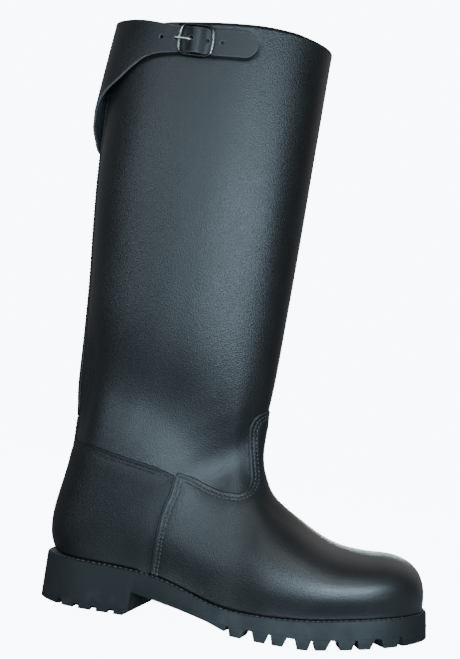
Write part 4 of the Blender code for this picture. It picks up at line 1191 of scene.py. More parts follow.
# %% Panel outlines in side view
VAMP_SEAM = ((87.4, 20.0), (87.4, 49.0), (88.6, 72.0), (90.6, 85.0), (94.0, 97.4), (95.6, 113.0))
VAMP_TOP = ((95.6, 113.0), (107.6, 111.0), (121.3, 106.1), (134.5, 103.5), (144.6, 103.6))
SHIN_TAB = ((144.6, 103.6), (150.6, 107.2), (152.3, 113.2), (149.8, 125.5), (146.0, 144.3),
            (145.4, 153.4), (147.4, 160.8), (152.0, 166.3), (159.3, 169.5))
COUNTER_TOP = ((9.0, 124.0), (28.0, 123.0), (49.5, 119.6), (67.6, 116.8), (81.0, 114.4), (94.8, 110.0))
BACK_TAB = (8.5, 142.0)
STRIP_TOP = 400.0
AHEAD, BEHIND, BELOW = 380.0, -80.0, -80.0
SEAM_STEP = 0.6
seam_line = rounded_line(VAMP_SEAM)
vamp_outline = np.concatenate(([(VAMP_SEAM[0][0], BELOW)], seam_line, rounded_line(VAMP_TOP)[1:],
                               rounded_line(SHIN_TAB)[1:], [(AHEAD, SHIN_TAB[-1][1]), (AHEAD, BELOW)]))
counter_line = rounded_line(COUNTER_TOP)
counter_back = [(BEHIND, counter_line[0][1]), (BEHIND, BELOW)]
counter_outline = np.concatenate(([(VAMP_SEAM[0][0] - SEAM_STEP, BELOW)], seam_line[:-1] - (SEAM_STEP, 0.0),
                                  counter_line[::-1], counter_back))
print("vamp outline", len(vamp_outline), "points, counter outline", len(counter_outline))

# %% [markdown]
# A level cuts through some triangles and leaves the others whole. In a cut triangle one corner stands alone
# on its side of the level, so it always splits into a tip and a four-sided rest. All of them are split at
# once with arrays. A boolean would do one edge as well, but it forgets the numbers kept at the points.

# %% Cutting a surface at levels
PLACE, OUT, VALUE, HEIGHT = slice(0, 3), slice(3, 6), 6, 7


def split_at(layers, triangles, values, level):
    """Cut the triangles that a level crosses; layers hold what is kept at each point."""
    above = values > level
    count = above[triangles].sum(axis=1)
    whole, mixed = triangles[(count == 0) | (count == 3)], triangles[(count == 1) | (count == 2)]
    flags = above[mixed]
    odd = np.where(flags.sum(axis=1) == 1, flags.argmax(axis=1), (~flags).argmax(axis=1))
    tip, left, right = np.take_along_axis(mixed, (odd[:, None] + np.arange(3)) % 3, axis=1).T
    crossed = np.concatenate((np.column_stack((tip, left)), np.column_stack((tip, right))))
    edges, where = np.unique(np.sort(crossed, axis=1), axis=0, return_inverse=True)
    start, end = edges.T
    share = (level - values[start]) / (values[end] - values[start])
    added = layers[start] + share[:, None] * (layers[end] - layers[start])
    where = where.reshape(-1) + len(layers)
    first, second = where[:len(tip)], where[len(tip):]
    parts = (tip, first, second), (first, left, right), (first, right, second)
    triangles = np.concatenate((whole, *(np.column_stack(part) for part in parts)))
    return np.concatenate((layers, added)), triangles, np.column_stack((first, second))


def level_line(layers, triangles, values, level):
    """Points along a level of the surface, and the pairs of them that are joined."""
    more, _, pairs = split_at(layers, triangles, values, level)
    used, joined = np.unique(pairs, return_inverse=True)
    return more[used], joined.reshape(-1, 2)


EDGE_LEVELS = (0.0, 0.12, 0.3, 0.55, 0.85, 1.2, 1.7, 2.3, 2.7, 3.0, 3.3, 3.8, 4.7, 5.1, 5.4, 5.7, 6.3)
PANEL_MARGIN = 8.0


def cut_panel(values):
    """The part of the upper's face with positive values, as layers (place, outward, value) and triangles."""
    near = (values > -PANEL_MARGIN)[face_triangles].any(axis=1)
    layers = np.column_stack((face_points, face_out, values))
    triangles = face_triangles[near]
    for level in EDGE_LEVELS:
        layers, triangles, _ = split_at(layers, triangles, layers[:, VALUE], level)
        if level == 0.0:
            triangles = triangles[layers[triangles, VALUE].mean(axis=1) > 0.0]
    return layers, triangles


print(len(EDGE_LEVELS), "levels along a panel's edge")

# %% [markdown]
# A shoemaker thins a panel towards its edge, which is called skiving, so that it lies down on the leather
# below. The panel's height follows that: thin at the edge, with a small bead where it was folded, a groove
# under each row of stitches, and its full thickness further in.

# %% Panels as closed skins
PANEL, PANEL_LIFT, PANEL_ROUND = 1.85, 0.05, 0.8
SKIVE = (0.9, 12.0)
BEAD, BEAD_PLACE, BEAD_WIDTH = 0.18, 1.2, 0.9
GROOVE, GROOVE_WIDTH = 0.2, 0.45
STITCH_ROWS = (3.0, 5.4)
AT_EDGE = 1e-9


def panel_height(distance, stitched):
    """Height of a sewn panel's face: thinned and rounded edge, and a groove along each stitch row."""
    thin, reach = SKIVE
    skived = thin + (PANEL - thin) * smoothstep(0.0, reach, distance)
    bead = BEAD * np.exp(-((distance - BEAD_PLACE) / BEAD_WIDTH) ** 2)
    grooves = sum(np.exp(-((distance - row) / GROOVE_WIDTH) ** 2) for row in STITCH_ROWS)
    return quarter_round(distance, PANEL_ROUND) * (skived + bead) - GROOVE * grooves * stitched


def make_panel(name, node, values, finish, stitched):
    """Dressed panel, grooved where stitched says so. Gives its layers with heights, and its triangles."""
    layers, triangles = cut_panel(values)
    distance = np.maximum(layers[:, VALUE], 0.0)
    height = panel_height(distance, stitched(layers[:, PLACE]))
    outer = PANEL_LIFT + np.where(distance <= AT_EDGE, 0.0, height)
    points, faces = closed_skin(layers[:, PLACE], layers[:, OUT], triangles, outer,
                                np.full(len(layers), PANEL_LIFT))
    marks = {"from_edge": np.tile(distance, 2)}
    dress(make_piece(name, points, faces, LEATHER[finish], marks), "black_leather", node)
    return np.column_stack((layers, outer)), triangles


print("panels", PANEL, "mm thick")

# %% [markdown]
# The vamp covers toe and instep and runs up the shin in a tongue-shaped tab. The counter stiffens the heel
# and has a small tab up the back, and from there a narrow strip covers the back seam. Drawing the counter's
# tab and the strip by plain distances is enough, because their edges are straight.

# %% Vamp, counter and back strip
TAB_AHEAD, STRIP_AHEAD, STRIP_GAP = 30.0, 40.0, 0.3
SEWN_UP_TO, SEWN_LEAN, SEWN_FADE = 94.0, 0.05, (2.0, 8.0)
SEWN_ABOVE = (70.0, 95.0)


def back_tab(points):
    """Distance inside the small tab that the counter runs up into."""
    half, top = BACK_TAB
    inside = np.minimum(half - np.abs(points[:, 1]), top - points[:, 2])
    return np.minimum(inside, TAB_AHEAD - points[:, 0])


def counter_stitched(points):
    """1 along the counter's top, fading out at its seam to the vamp and down the sides."""
    ahead = SEWN_UP_TO - points[:, 0] - SEWN_LEAN * points[:, 2]
    return smoothstep(*SEWN_FADE, ahead) * smoothstep(*SEWN_ABOVE, points[:, 2])


side_view = face_points[:, [0, 2]]
vamp_layers, vamp_triangles = make_panel(
    "vamp_leather", "vamp", inside_distance(side_view, vamp_outline), "vamp leather",
    lambda points: np.ones(len(points)))
counter_values = np.maximum(inside_distance(side_view, counter_outline), back_tab(face_points))
counter_layers, counter_triangles = make_panel(
    "counter_leather", "counter", counter_values, "counter leather", counter_stitched)
strip_sides = np.minimum(BACK_TAB[0] - np.abs(face_points[:, 1]), STRIP_TOP - face_points[:, 2])
strip_ends = np.minimum(face_points[:, 2] - BACK_TAB[1] - STRIP_GAP, STRIP_AHEAD - face_points[:, 0])
strip_layers, strip_triangles = make_panel(
    "back_strip_leather", "back_strip", np.minimum(strip_sides, strip_ends), "back strip leather",
    lambda points: np.zeros(len(points)))

# %% [markdown]
# ## Stitches
# Rows of thread run along the panels' edges, a double row on vamp and counter. A row is a level line of the
# panel's own distance. Geometry Nodes turns each line into a curve, sets points along it at the stitch
# length, and puts one small waxed stitch on every point, lying along the seam and sunk into its groove.

# %% Stitch tree
BEAD_SHAPE = {"Segments": 8, "Rings": 5, "Radius": 0.5}
UNEVEN = (0.85, 1.08)


def stitch_tree():
    """Stitches along the edges of a mesh, lying along them and facing the point attribute out."""
    tree = bpy.data.node_groups.new("stitches", "GeometryNodeTree")
    face = tree.interface
    face.new_socket("Geometry", in_out="OUTPUT", socket_type="NodeSocketGeometry")
    face.new_socket("Geometry", in_out="INPUT", socket_type="NodeSocketGeometry")
    for label in ("Pitch", "Length", "Width"):
        face.new_socket(label, in_out="INPUT", socket_type="NodeSocketFloat").default_value = MM
    face.new_socket("Seed", in_out="INPUT", socket_type="NodeSocketInt").default_value = 1
    face.new_socket("Thread", in_out="INPUT", socket_type="NodeSocketMaterial")
    given, made = tree.nodes.new("NodeGroupInput"), tree.nodes.new("NodeGroupOutput")
    link = tree.links.new
    curve = add(tree, "GeometryNodeMeshToCurve")
    link(given.outputs["Geometry"], curve.inputs["Mesh"])
    points = add(tree, "GeometryNodeCurveToPoints", mode="LENGTH")
    link(curve.outputs["Curve"], points.inputs["Curve"])
    link(given.outputs["Pitch"], points.inputs["Length"])
    out = add(tree, "GeometryNodeInputNamedAttribute", {"Name": "out"}, data_type="FLOAT_VECTOR")
    ahead = add(tree, "FunctionNodeAlignRotationToVector", axis="X")
    link(points.outputs["Tangent"], ahead.inputs["Vector"])
    upright = add(tree, "FunctionNodeAlignRotationToVector", axis="Z", pivot_axis="X")
    link(ahead.outputs["Rotation"], upright.inputs["Rotation"])
    link(out.outputs["Attribute"], upright.inputs["Vector"])
    bead = add(tree, "GeometryNodeMeshUVSphere", BEAD_SHAPE)
    uneven = add(tree, "FunctionNodeRandomValue", {2: UNEVEN[0], 3: UNEVEN[1]}, data_type="FLOAT")
    link(given.outputs["Seed"], uneven.inputs["Seed"])
    length = add(tree, "ShaderNodeMath", operation="MULTIPLY")
    link(given.outputs["Length"], length.inputs[0])
    link(uneven.outputs[1], length.inputs[1])
    size = add(tree, "ShaderNodeCombineXYZ")
    link(length.outputs["Value"], size.inputs["X"])
    link(given.outputs["Width"], size.inputs["Y"])
    link(given.outputs["Width"], size.inputs["Z"])
    placed_stitches = add(tree, "GeometryNodeInstanceOnPoints")
    link(points.outputs["Points"], placed_stitches.inputs["Points"])
    link(bead.outputs["Mesh"], placed_stitches.inputs["Instance"])
    link(upright.outputs["Rotation"], placed_stitches.inputs["Rotation"])
    link(size.outputs["Vector"], placed_stitches.inputs["Scale"])
    real = add(tree, "GeometryNodeRealizeInstances")
    link(placed_stitches.outputs["Instances"], real.inputs["Geometry"])
    smooth = add(tree, "GeometryNodeSetShadeSmooth")
    link(real.outputs["Geometry"], smooth.inputs["Geometry"])
    finish = add(tree, "GeometryNodeSetMaterial")
    link(smooth.outputs["Geometry"], finish.inputs["Geometry"])
    link(given.outputs["Thread"], finish.inputs["Material"])
    link(finish.outputs["Geometry"], made.inputs["Geometry"])
    return tree


STITCHES = stitch_tree()
print("tree:", STITCHES.name, "with", len(STITCHES.nodes), "nodes")

# %% [markdown]
# A seam is sewn in one go, and here too: all rows of a seam go into one line mesh with an outward direction
# at each point. The tree is evaluated once and its result kept as a plain mesh, because the modifier itself
# doesn't survive an export.

# %% Sewing
def baked(thing):
    """Plain mesh of an object with its modifiers or bevel applied; the object goes."""
    evaluated = thing.evaluated_get(bpy.context.evaluated_depsgraph_get())
    mesh = bpy.data.meshes.new_from_object(evaluated)
    bpy.data.objects.remove(thing, do_unlink=True)
    return mesh


def sew(name, rows, stitch, seed, thread=THREAD):
    """One mesh of stitches (pitch, length, width) along rows, each of (points, directions, joined pairs)."""
    starts = np.cumsum([0] + [len(points) for points, _, _ in rows])
    pairs = np.concatenate([joined + start for (_, _, joined), start in zip(rows, starts)])
    line = bpy.data.meshes.new(name + " line")
    line.from_pydata(placed(np.concatenate([points for points, _, _ in rows])).tolist(), pairs.tolist(), [])
    layer = line.attributes.new("out", "FLOAT_VECTOR", "POINT")
    layer.data.foreach_set("vector", np.concatenate([out for _, out, _ in rows]).ravel())
    guide = add_object(name + " guide", line)
    modifier = guide.modifiers.new("stitches", "NODES")
    modifier.node_group = STITCHES
    pitch, length, width = (size * MM for size in stitch)
    values = {"Pitch": pitch, "Length": length, "Width": width, "Seed": seed, "Thread": thread}
    for item in STITCHES.interface.items_tree:
        if item.in_out == "INPUT" and item.name in values:
            modifier[item.identifier] = values[item.name]
    mesh = baked(guide)
    mesh.name = name
    return dress(add_object(name, mesh), "black_leather")


def seam_row(layers, triangles, values, level, keep=None):
    """A row of stitches along a level of a panel, all of it or where keep says so."""
    line, pairs = level_line(np.column_stack((layers, values)), triangles, values, level)
    points = line[:, PLACE] + line[:, OUT] * line[:, [HEIGHT]]
    if keep:
        pairs = pairs[keep(points)[pairs].all(axis=1)]
    return points, line[:, OUT], pairs


print("sewing ready")

# %% [markdown]
# Vamp and counter have a double row in a stout thread; the vamp's is the paler thread, whose tone is a
# painted glint. The strip over the back seam and the rim have a single finer row. The counter's row follows
# its top edge alone, since its front edge lies under the vamp.

# %% Seams of the upper
STOUT, FINE, RIM_STITCH = (3.2, 2.3, 0.9), (2.9, 2.2, 0.7), (2.7, 2.2, 0.6)
SOLE_CLEAR, COUNTER_SEWN = 2.5, 93.0
STRIP_ROW, RIM_ROW = 2.0, 3.2


def above_sole(points):
    """Whether points lie clear of the sole's edge."""
    return points[:, 2] > SEAM_Z(points[:, 0]) + SOLE_CLEAR


def behind_vamp(points):
    """Whether points lie behind the vamp's edge."""
    return points[:, 0] < COUNTER_SEWN


vamp_values = vamp_layers[:, VALUE]
vamp_rows = [seam_row(vamp_layers, vamp_triangles, vamp_values, row, above_sole) for row in STITCH_ROWS]
sew("vamp_stitches", vamp_rows, STOUT, seed=1, thread=GLINT_THREAD)
top_ahead = [(AHEAD, BELOW), (AHEAD, counter_line[-1][1])]
top_outline = np.concatenate((top_ahead, counter_line[::-1], counter_back))
top_values = inside_distance(counter_layers[:, [0, 2]], top_outline)
top_values = np.maximum(top_values, back_tab(counter_layers))
counter_rows = [seam_row(counter_layers, counter_triangles, top_values, row, behind_vamp)
                for row in STITCH_ROWS]
sew("counter_stitches", counter_rows, STOUT, seed=2)
strip_row = seam_row(strip_layers, strip_triangles, strip_layers[:, VALUE], STRIP_ROW)
sew("back_strip_stitches", [strip_row], FINE, seed=3)
rim_layers = np.column_stack((face_points, face_out, face_below_rim, np.zeros(len(face_points))))
rim_row = seam_row(rim_layers, face_triangles, face_below_rim, RIM_ROW)
sew("rim_stitches", [rim_row], RIM_STITCH, seed=4)

# %% [markdown]
# ## Strap
# A wide flap is sewn to the inner side of the shaft, runs round the back and narrows into the strap on the
# outer side. Its lower edge stands off the calf. The flat layout from above is wrapped round the shaft's
# own grid, and holes are punched where the flat distance to their centres is small.

# %% The shaft by distance round
STRAP_DEPTH, STRAP_STATIONS = 135.0, 110
SHAFT_ROUND = np.arange(-64.0, 152.0, 1.0)
strap_stations = np.linspace(STATIONS[-1] - STRAP_DEPTH, STATIONS[-1], STRAP_STATIONS)
shaft_grid = np.empty((len(strap_stations), len(SHAFT_ROUND), 3))
for side, chosen in ((-1, SHAFT_ROUND >= 0.0), (1, SHAFT_ROUND < 0.0)):
    outlines = half_outlines(strap_stations, side)
    travel = along(outlines)
    for i in range(len(strap_stations)):
        wanted = travel[i, -1] - np.abs(SHAFT_ROUND[chosen])
        shaft_grid[i, chosen] = resampled(outlines[i], travel[i], wanted)
raise_rim(shaft_grid)
shaft_index = np.arange(shaft_grid[..., 0].size).reshape(shaft_grid.shape[:2])
shaft_out = outward(shaft_grid.reshape(-1, 3), grid_triangles(shaft_index)).reshape(shaft_grid.shape)
shaft_layers = np.concatenate((shaft_grid, shaft_out), axis=2)
INSIDE = 0.001


def on_shaft(distance, z):
    """Points of the shaft's face by distance round and height, and the outward directions there."""
    distance, z = np.atleast_1d(distance).astype(float), np.atleast_1d(z).astype(float)
    place = np.clip(distance - SHAFT_ROUND[0], 0.0, len(SHAFT_ROUND) - 1 - INSIDE)
    left = place.astype(int)
    found = 0.0
    for beside, weight in ((0, 1 - (place - left)), (1, place - left)):
        lines = shaft_layers[:, left + beside]
        low = np.clip((lines[..., 2] < z).sum(axis=0) - 1, 0, len(lines) - 2)
        pick = np.arange(len(z))
        start, end = lines[low, pick], lines[low + 1, pick]
        share = (z - start[:, 2]) / (end[:, 2] - start[:, 2])
        found = found + weight[:, None] * (start + share[:, None] * (end - start))
    return found[:, PLACE], found[:, OUT] / np.linalg.norm(found[:, OUT], axis=1)[:, None]


print("shaft grid", shaft_grid.shape[:2])

# %% [markdown]
# Where the strap lies on the shaft it has a small gap, low down at the back it flares out and curls in again
# at its edge, and under the buckle it humps over the middle bar. All of that is one distance from the shaft,
# worked out from the place on the flat strap.

# %% Strap over the shaft
GAP = 0.3
STRAP_GAP, STRAP_THICKNESS = 0.9, 2.0
FLARE, CURL = 8.2, 0.5
FLARE_HEIGHTS = (352.0, 374.0, 452.0)
FLARE_ROUND = (-50.0, -14.0, 22.0, 78.0)
BUCKLE_PLACE = (95.0, 440.9)
WIRE, MIDDLE_BAR, MIDDLE_BAR_DROP = 1.15, 1.0, 1.0
BAR_HEIGHT = STRAP_GAP + STRAP_THICKNESS + 2 * GAP + WIRE
HUMP_WIDTH = 5.5
STRAP_HUMP = BAR_HEIGHT - MIDDLE_BAR_DROP + MIDDLE_BAR + 3 * GAP - STRAP_GAP


def strap_off(distance, z):
    """Distance of the strap's inner face from the shaft."""
    outer_low, inner_low, inner_high, outer_high = FLARE_ROUND
    across = smoothstep(outer_low, inner_low, distance) * (1 - smoothstep(inner_high, outer_high, distance))
    edge, low, high = FLARE_HEIGHTS
    lean = np.clip((high - z) / (high - low), 0.0, 1.0)
    flare = FLARE * across * lean * (CURL + (1 - CURL) * smoothstep(edge, low, z))
    return STRAP_GAP + flare + STRAP_HUMP * np.exp(-((distance - BUCKLE_PLACE[0]) / HUMP_WIDTH) ** 2)


GRID_ROWS, NARROW_RUNG = 26, 6.0
lengths = np.hypot(rungs[:, 2] - rungs[:, 0], rungs[:, 3] - rungs[:, 1])
scaled = EDGE_OFFSETS[None, :] * np.minimum(1.0, lengths / NARROW_RUNG)[:, None] / lengths[:, None]
between = np.linspace(0.0, 1.0, GRID_ROWS + 2)[1:-1]
inner_shares = scaled[:, -1:] + between[None, :] * (1 - 2 * scaled[:, -1:])
shares = np.concatenate((1 - scaled, inner_shares[:, ::-1], scaled[:, ::-1]), axis=1)
flat = rungs[:, None, :2] + shares[..., None] * (rungs[:, None, 2:] - rungs[:, None, :2])
strap_triangles = grid_triangles(np.arange(shares.size).reshape(shares.shape))
flat = flat.reshape(-1, 2)
from_edge = np.maximum(inside_distance(flat, strap_outline), 0.0)
strap_face, strap_normal = on_shaft(flat[:, 0], flat[:, 1])
strap_points = strap_face + strap_normal * strap_off(flat[:, 0], flat[:, 1])[:, None]
strap_layers = np.column_stack((strap_points, outward(strap_points, strap_triangles), from_edge, flat))
print("strap grid", shares.shape)

# %% [markdown]
# Holes are punched through the strap, and the prong goes through one of its own under the buckle. Each is cut
# at a few levels of the distance from its centre, so that its edge is round and can be rolled over like the
# strap's outer edge. The skin's two faces draw together there.

# %% Holes, edges and seam of the strap
HOLES_X, HOLES_Z, HOLE_RADIUS = (37.4, 49.1, 72.6, 84.3), 441.5, 1.5
PRONG_HOLE = (-3.6, 2.2)
OUTER_SIDE = 20.0
STRAP_ROUND_OVER = 0.6
STRAP_SEAM, STRAP_STITCH = (3.0, 6.5), (2.9, 2.2, 0.75)
FLAT_ROUND, FLAT_Z = 7, 8


def from_hole(layers, round_x, radius):
    """Distance from a hole's edge on the flat strap, positive outside it."""
    return np.hypot(layers[:, FLAT_ROUND] - round_x, layers[:, FLAT_Z] - HOLES_Z) - radius


middle_line, _ = on_shaft(SHAFT_ROUND, np.full(len(SHAFT_ROUND), HOLES_Z))
lateral = SHAFT_ROUND > OUTER_SIDE
holes = [(np.interp(x, middle_line[lateral, 0], SHAFT_ROUND[lateral]), HOLE_RADIUS) for x in HOLES_X]
holes.append((BUCKLE_PLACE[0] + PRONG_HOLE[0], PRONG_HOLE[1]))
for hole in holes:
    for step in EDGE_OFFSETS:
        away = from_hole(strap_layers, *hole)
        strap_layers, strap_triangles, _ = split_at(strap_layers, strap_triangles, away, step)
    away = from_hole(strap_layers, *hole)
    strap_triangles = strap_triangles[away[strap_triangles].mean(axis=1) > 0.0]
    away = np.where(away < ONE_POINT, 0.0, away)
    strap_layers[:, VALUE] = np.minimum(strap_layers[:, VALUE], np.maximum(away, 0.0))
full = quarter_round(strap_layers[:, VALUE], STRAP_ROUND_OVER)
strap_skin, strap_faces = closed_skin(strap_layers[:, PLACE], strap_layers[:, OUT], strap_triangles,
                                      STRAP_THICKNESS / 2 * (1 + full), STRAP_THICKNESS / 2 * (1 - full))
strap = make_piece("strap_leather", strap_skin, strap_faces, LEATHER["strap leather"],
                   {"from_edge": np.tile(strap_layers[:, VALUE], 2)})
# The inner face is the flesh side, made paler as painted light on a face in shade.
line_inside(strap, len(strap_triangles), LEATHER["flesh side with painted light"])
dress(strap, "black_leather", "calf_strap")
strap_top = np.column_stack((strap_layers[:, :FLAT_ROUND], np.full(len(strap_layers), STRAP_THICKNESS)))
strap_round = strap_layers[:, FLAT_ROUND]
sewn_rows = [seam_row(strap_top, strap_triangles, strap_round, spacing[0] + row) for row in STRAP_SEAM]
sew("strap_stitches", sewn_rows, STRAP_STITCH, seed=5)

# %% [markdown]
# ## Buckle
# The buckle is bent from round wire: a frame with bowed sides, a middle bar brazed across it, and a prong
# that is looped on the bar. Sweeping a circle along a path is how wire is drawn, so curves with a round
# bevel make it, and the bar is joined on by a boolean.

# %% Wire and boolean helpers
WIRE_SIDES = 5
MERGED = 0.002


def turned_out(mesh, merge=0.0, collapse=0.0):
    """Mesh without loose points, its doubles merged, thin faces collapsed and all faces turned out."""
    bm = bmesh.new()
    bm.from_mesh(mesh)
    bmesh.ops.delete(bm, geom=[vert for vert in bm.verts if not vert.link_faces], context="VERTS")
    if merge:
        bmesh.ops.remove_doubles(bm, verts=bm.verts, dist=merge * MM)
    if collapse:
        bmesh.ops.dissolve_degenerate(bm, edges=bm.edges, dist=collapse * MM)
    bmesh.ops.recalc_face_normals(bm, faces=bm.faces)
    print(mesh.name, len(bm.faces), "faces,", sum(not edge.is_manifold for edge in bm.edges), "open edges")
    bm.to_mesh(mesh)
    bm.free()
    return mesh


def wire(name, points, radius, cyclic):
    """Round wire through points in millimetres."""
    curve = bpy.data.curves.new(name, "CURVE")
    curve.dimensions = "3D"
    curve.bevel_depth, curve.bevel_resolution = radius * MM, WIRE_SIDES
    curve.use_fill_caps = not cyclic
    spline = curve.splines.new("POLY")
    spline.points.add(len(points) - 1)
    for point, place in zip(spline.points, placed(points)):
        point.co = (*place, 1.0)
    spline.use_cyclic_u = cyclic
    return add_object(name, turned_out(baked(add_object(name, curve)), MERGED))


def cut(thing, tool, operation):
    """Boolean with an exact solver; the tool goes."""
    modifier = thing.modifiers.new("cut", "BOOLEAN")
    modifier.operation, modifier.object, modifier.solver = operation, tool, "EXACT"
    name = thing.name
    done = add_object(name, baked(thing))
    bpy.data.objects.remove(tool, do_unlink=True)
    return done


def softened(route, times):
    """A path with its corners cut again and again until they are round."""
    route = np.array(route, float)
    for _ in range(times):
        start, end = route[:-1], route[1:]
        inner = np.stack((0.75 * start + 0.25 * end, 0.25 * start + 0.75 * end), axis=1)
        route = np.concatenate((route[:1], inner.reshape(-1, route.shape[1]), route[-1:]))
    return route


def finish_piece(thing, material, sharp_angle):
    """The piece's one material, and smooth faces with edges sharp from an angle on."""
    thing.data.materials.clear()
    thing.data.materials.append(material)
    thing.data.shade_smooth()
    thing.data.set_sharp_from_angle(angle=math.radians(sharp_angle))


print("wire helpers ready")

# %% [markdown]
# The buckle sits flat on the strap, so its own frame is taken from the shaft there: outward, ahead along the
# strap, and up. Frame, bar and prong are then drawn in those three directions, as on a bench.

# %% Buckle and prong
BUCKLE_X, BUCKLE_HALF_HEIGHT, BUCKLE_CORNER, BUCKLE_BOW = 11.6, 11.6, 4.0, 1.6
CORNER_POINTS, SIDE_POINTS = 11, 7
PRONG_WIRE, PRONG_TIP, PRONG_SOFT = 0.95, 2.6, 2
WIRE_SHARP = 50.0
place, out_way = (item[0] for item in on_shaft(*BUCKLE_PLACE))
place = place + out_way * BAR_HEIGHT
ends, _ = on_shaft(BUCKLE_PLACE[0] + np.array((-BUCKLE_X / 2, BUCKLE_X / 2)), np.full(2, BUCKLE_PLACE[1]))
ahead = ends[1] - ends[0]
ahead = ahead - out_way * (ahead @ out_way)
ahead = ahead / np.linalg.norm(ahead)
up_way = np.cross(out_way, ahead)


def buckle_points(route):
    """Points of rows of (across, up, out) on the buckle."""
    route = np.array(route, float)
    return place + route[:, :1] * ahead + route[:, 1:2] * up_way + route[:, 2:] * out_way


def bow(up):
    """How far the frame's sides bow out at a height."""
    return BUCKLE_BOW * (1 - (up / BUCKLE_HALF_HEIGHT) ** 2)


loop = []
for right, top, start in ((1, 1, 0.0), (-1, 1, 90.0), (-1, -1, 180.0), (1, -1, 270.0)):
    for turn in np.radians(start + np.linspace(0.0, 90.0, CORNER_POINTS)):
        across = right * (BUCKLE_X - BUCKLE_CORNER) + BUCKLE_CORNER * math.cos(turn)
        up = top * (BUCKLE_HALF_HEIGHT - BUCKLE_CORNER) + BUCKLE_CORNER * math.sin(turn)
        loop.append((across + bow(up) * across / BUCKLE_X, up, 0.0))
    side_up = np.linspace(1.0, -1.0, SIDE_POINTS + 2)[1:-1] * (BUCKLE_HALF_HEIGHT - BUCKLE_CORNER)
    if right == -top:
        loop += [(right * (BUCKLE_X + bow(up)), up, 0.0) for up in (side_up if right < 0 else -side_up)]
frame_wire = wire("buckle_wire", buckle_points(loop), WIRE, True)
bend = BUCKLE_HALF_HEIGHT - WIRE
bar_route = ((0.0, -BUCKLE_HALF_HEIGHT, 0.0), (0.0, -bend, -MIDDLE_BAR_DROP), (0.0, bend, -MIDDLE_BAR_DROP),
             (0.0, BUCKLE_HALF_HEIGHT, 0.0))
frame_wire = cut(frame_wire, wire("middle_bar", buckle_points(bar_route), MIDDLE_BAR, False), "UNION")
rest = WIRE + PRONG_WIRE + GAP
over_frame = -BUCKLE_X - BUCKLE_BOW
prong_route = ((-2 * WIRE - GAP, 0.0, -MIDDLE_BAR_DROP), (-4 * WIRE, 0.0, rest), (over_frame, 0.0, rest),
               (over_frame - PRONG_TIP, 0.0, rest - GAP))
prong = wire("prong_wire", buckle_points(softened(prong_route, PRONG_SOFT)), PRONG_WIRE, False)
for thing, node, metal in ((frame_wire, "buckle", NICKEL), (prong, "buckle_prong", RUBBED_NICKEL)):
    finish_piece(thing, metal, WIRE_SHARP)
    dress(thing, "nickel", node)

# %% [markdown]
# ## Sole
# The sole is moulded in one piece: heel block, hollow arch and a lugged forefoot that springs up at the toe.
# Its body is lofted along the outline, with a fine rib over the lugs and a rounded lip at the top. A loft
# from a table of levels keeps the true outline all round, which a squashed box with bevels would lose.

# %% Sole body
SOLE_DRAFT, HEEL_LEAN, TOE_LEAN, HEEL_PROUD = 0.6, 0.4, 3.0, 1.2
HEEL_LENGTH, BREAST_SLANT, BREAST_HEIGHT, BREAST_BEVEL = 75.0, 13.0, 17.0, 4.0
TREAD_START, TREAD_END, TOE_SPRING, SPRING_POWER = 140.0, 210.0, 14.4, 1.2
LUG_DEPTH = 7.2
RIB_FADE = 12.0
OUTLINE_SAMPLES, SOLE_RINGS = 3000, 170
SIDE_COLUMNS = ("from_top", "height", "inset")
SIDE = (
    (0, 0.0, 0.0),
    (0, LUG_DEPTH + 0.8, 0.0),
    (0, LUG_DEPTH + 1.2, -0.3),
    (0, LUG_DEPTH + 1.6, 0.0),
    (1, -1.5, 0.0),
    (1, -0.7, 0.2),
    (1, -0.2, 0.7),
    (1, 0.0, 1.5),
    (1, 0.0, 9.0),
)


def lofted(name, rings, number):
    """Mesh over rings of points, each closed round; number says which point stands at each corner."""
    closed = np.concatenate((number, number[:, :1]), axis=1)
    corners = np.stack((closed[:-1, :-1], closed[1:, :-1], closed[1:, 1:], closed[:-1, 1:]), axis=2)
    faces = [list(dict.fromkeys(face)) for face in corners.reshape(-1, 4).tolist()]
    mesh = bpy.data.meshes.new(name)
    mesh.from_pydata(placed(rings.reshape(-1, 3)).tolist(), [], [face for face in faces if len(face) > 2])
    return mesh


def tread_z(x):
    """Height of the tread, which springs up towards the toe."""
    share = np.clip((x - TREAD_END) / (SOLE_LENGTH - TREAD_END), 0.0, 1.0)
    return FLOOR + TOE_SPRING * share ** SPRING_POWER


dense = SOLE_LENGTH * (1 - np.cos(np.linspace(0.0, math.pi, OUTLINE_SAMPLES))) / 2
travel = along(np.column_stack((dense, plan_edges(dense, 0.0)[0])))
sole_x = np.interp(np.linspace(0.0, travel[-1], SOLE_RINGS), travel, dense)
proud = HEEL_PROUD * smoothstep(0.0, HEEL_ROUND[0], sole_x)
proud = proud * (1 - smoothstep(HEEL_LENGTH - BREAST_BEVEL, HEEL_LENGTH + BREAST_BEVEL, sole_x))
lean = TOE_LEAN * smoothstep(SOLE_LENGTH - TOE_ROUND[0], SOLE_LENGTH, sole_x)
lean = lean - HEEL_LEAN * (1 - smoothstep(0.0, HEEL_ROUND[0], sole_x))
lateral_rows, medial_rows = [], []
for row in SIDE:
    level = dict(zip(SIDE_COLUMNS, row))
    inset = level["inset"]
    if inset < 0.0:
        inset = inset * smoothstep(TREAD_START, TREAD_START + RIB_FADE, sole_x)
    x = sole_x + inset * (1 - 2 * sole_x / SOLE_LENGTH)
    low, high = tread_z(sole_x), SEAM_Z(np.clip(x, 0.0, SOLE_LENGTH))
    z = (high if level["from_top"] else low) + level["height"]
    down = (high - z) / (high - low)
    lateral, medial = plan_edges(x, inset)
    draft = np.minimum(SOLE_DRAFT, (medial - lateral) / 2) * down
    x = x + lean * down
    lateral_rows.append(np.column_stack((x, lateral - proud + draft, z)))
    medial_rows.append(np.column_stack((x, medial + proud - draft, z)))
rings = np.stack(lateral_rows + medial_rows[::-1], axis=1)
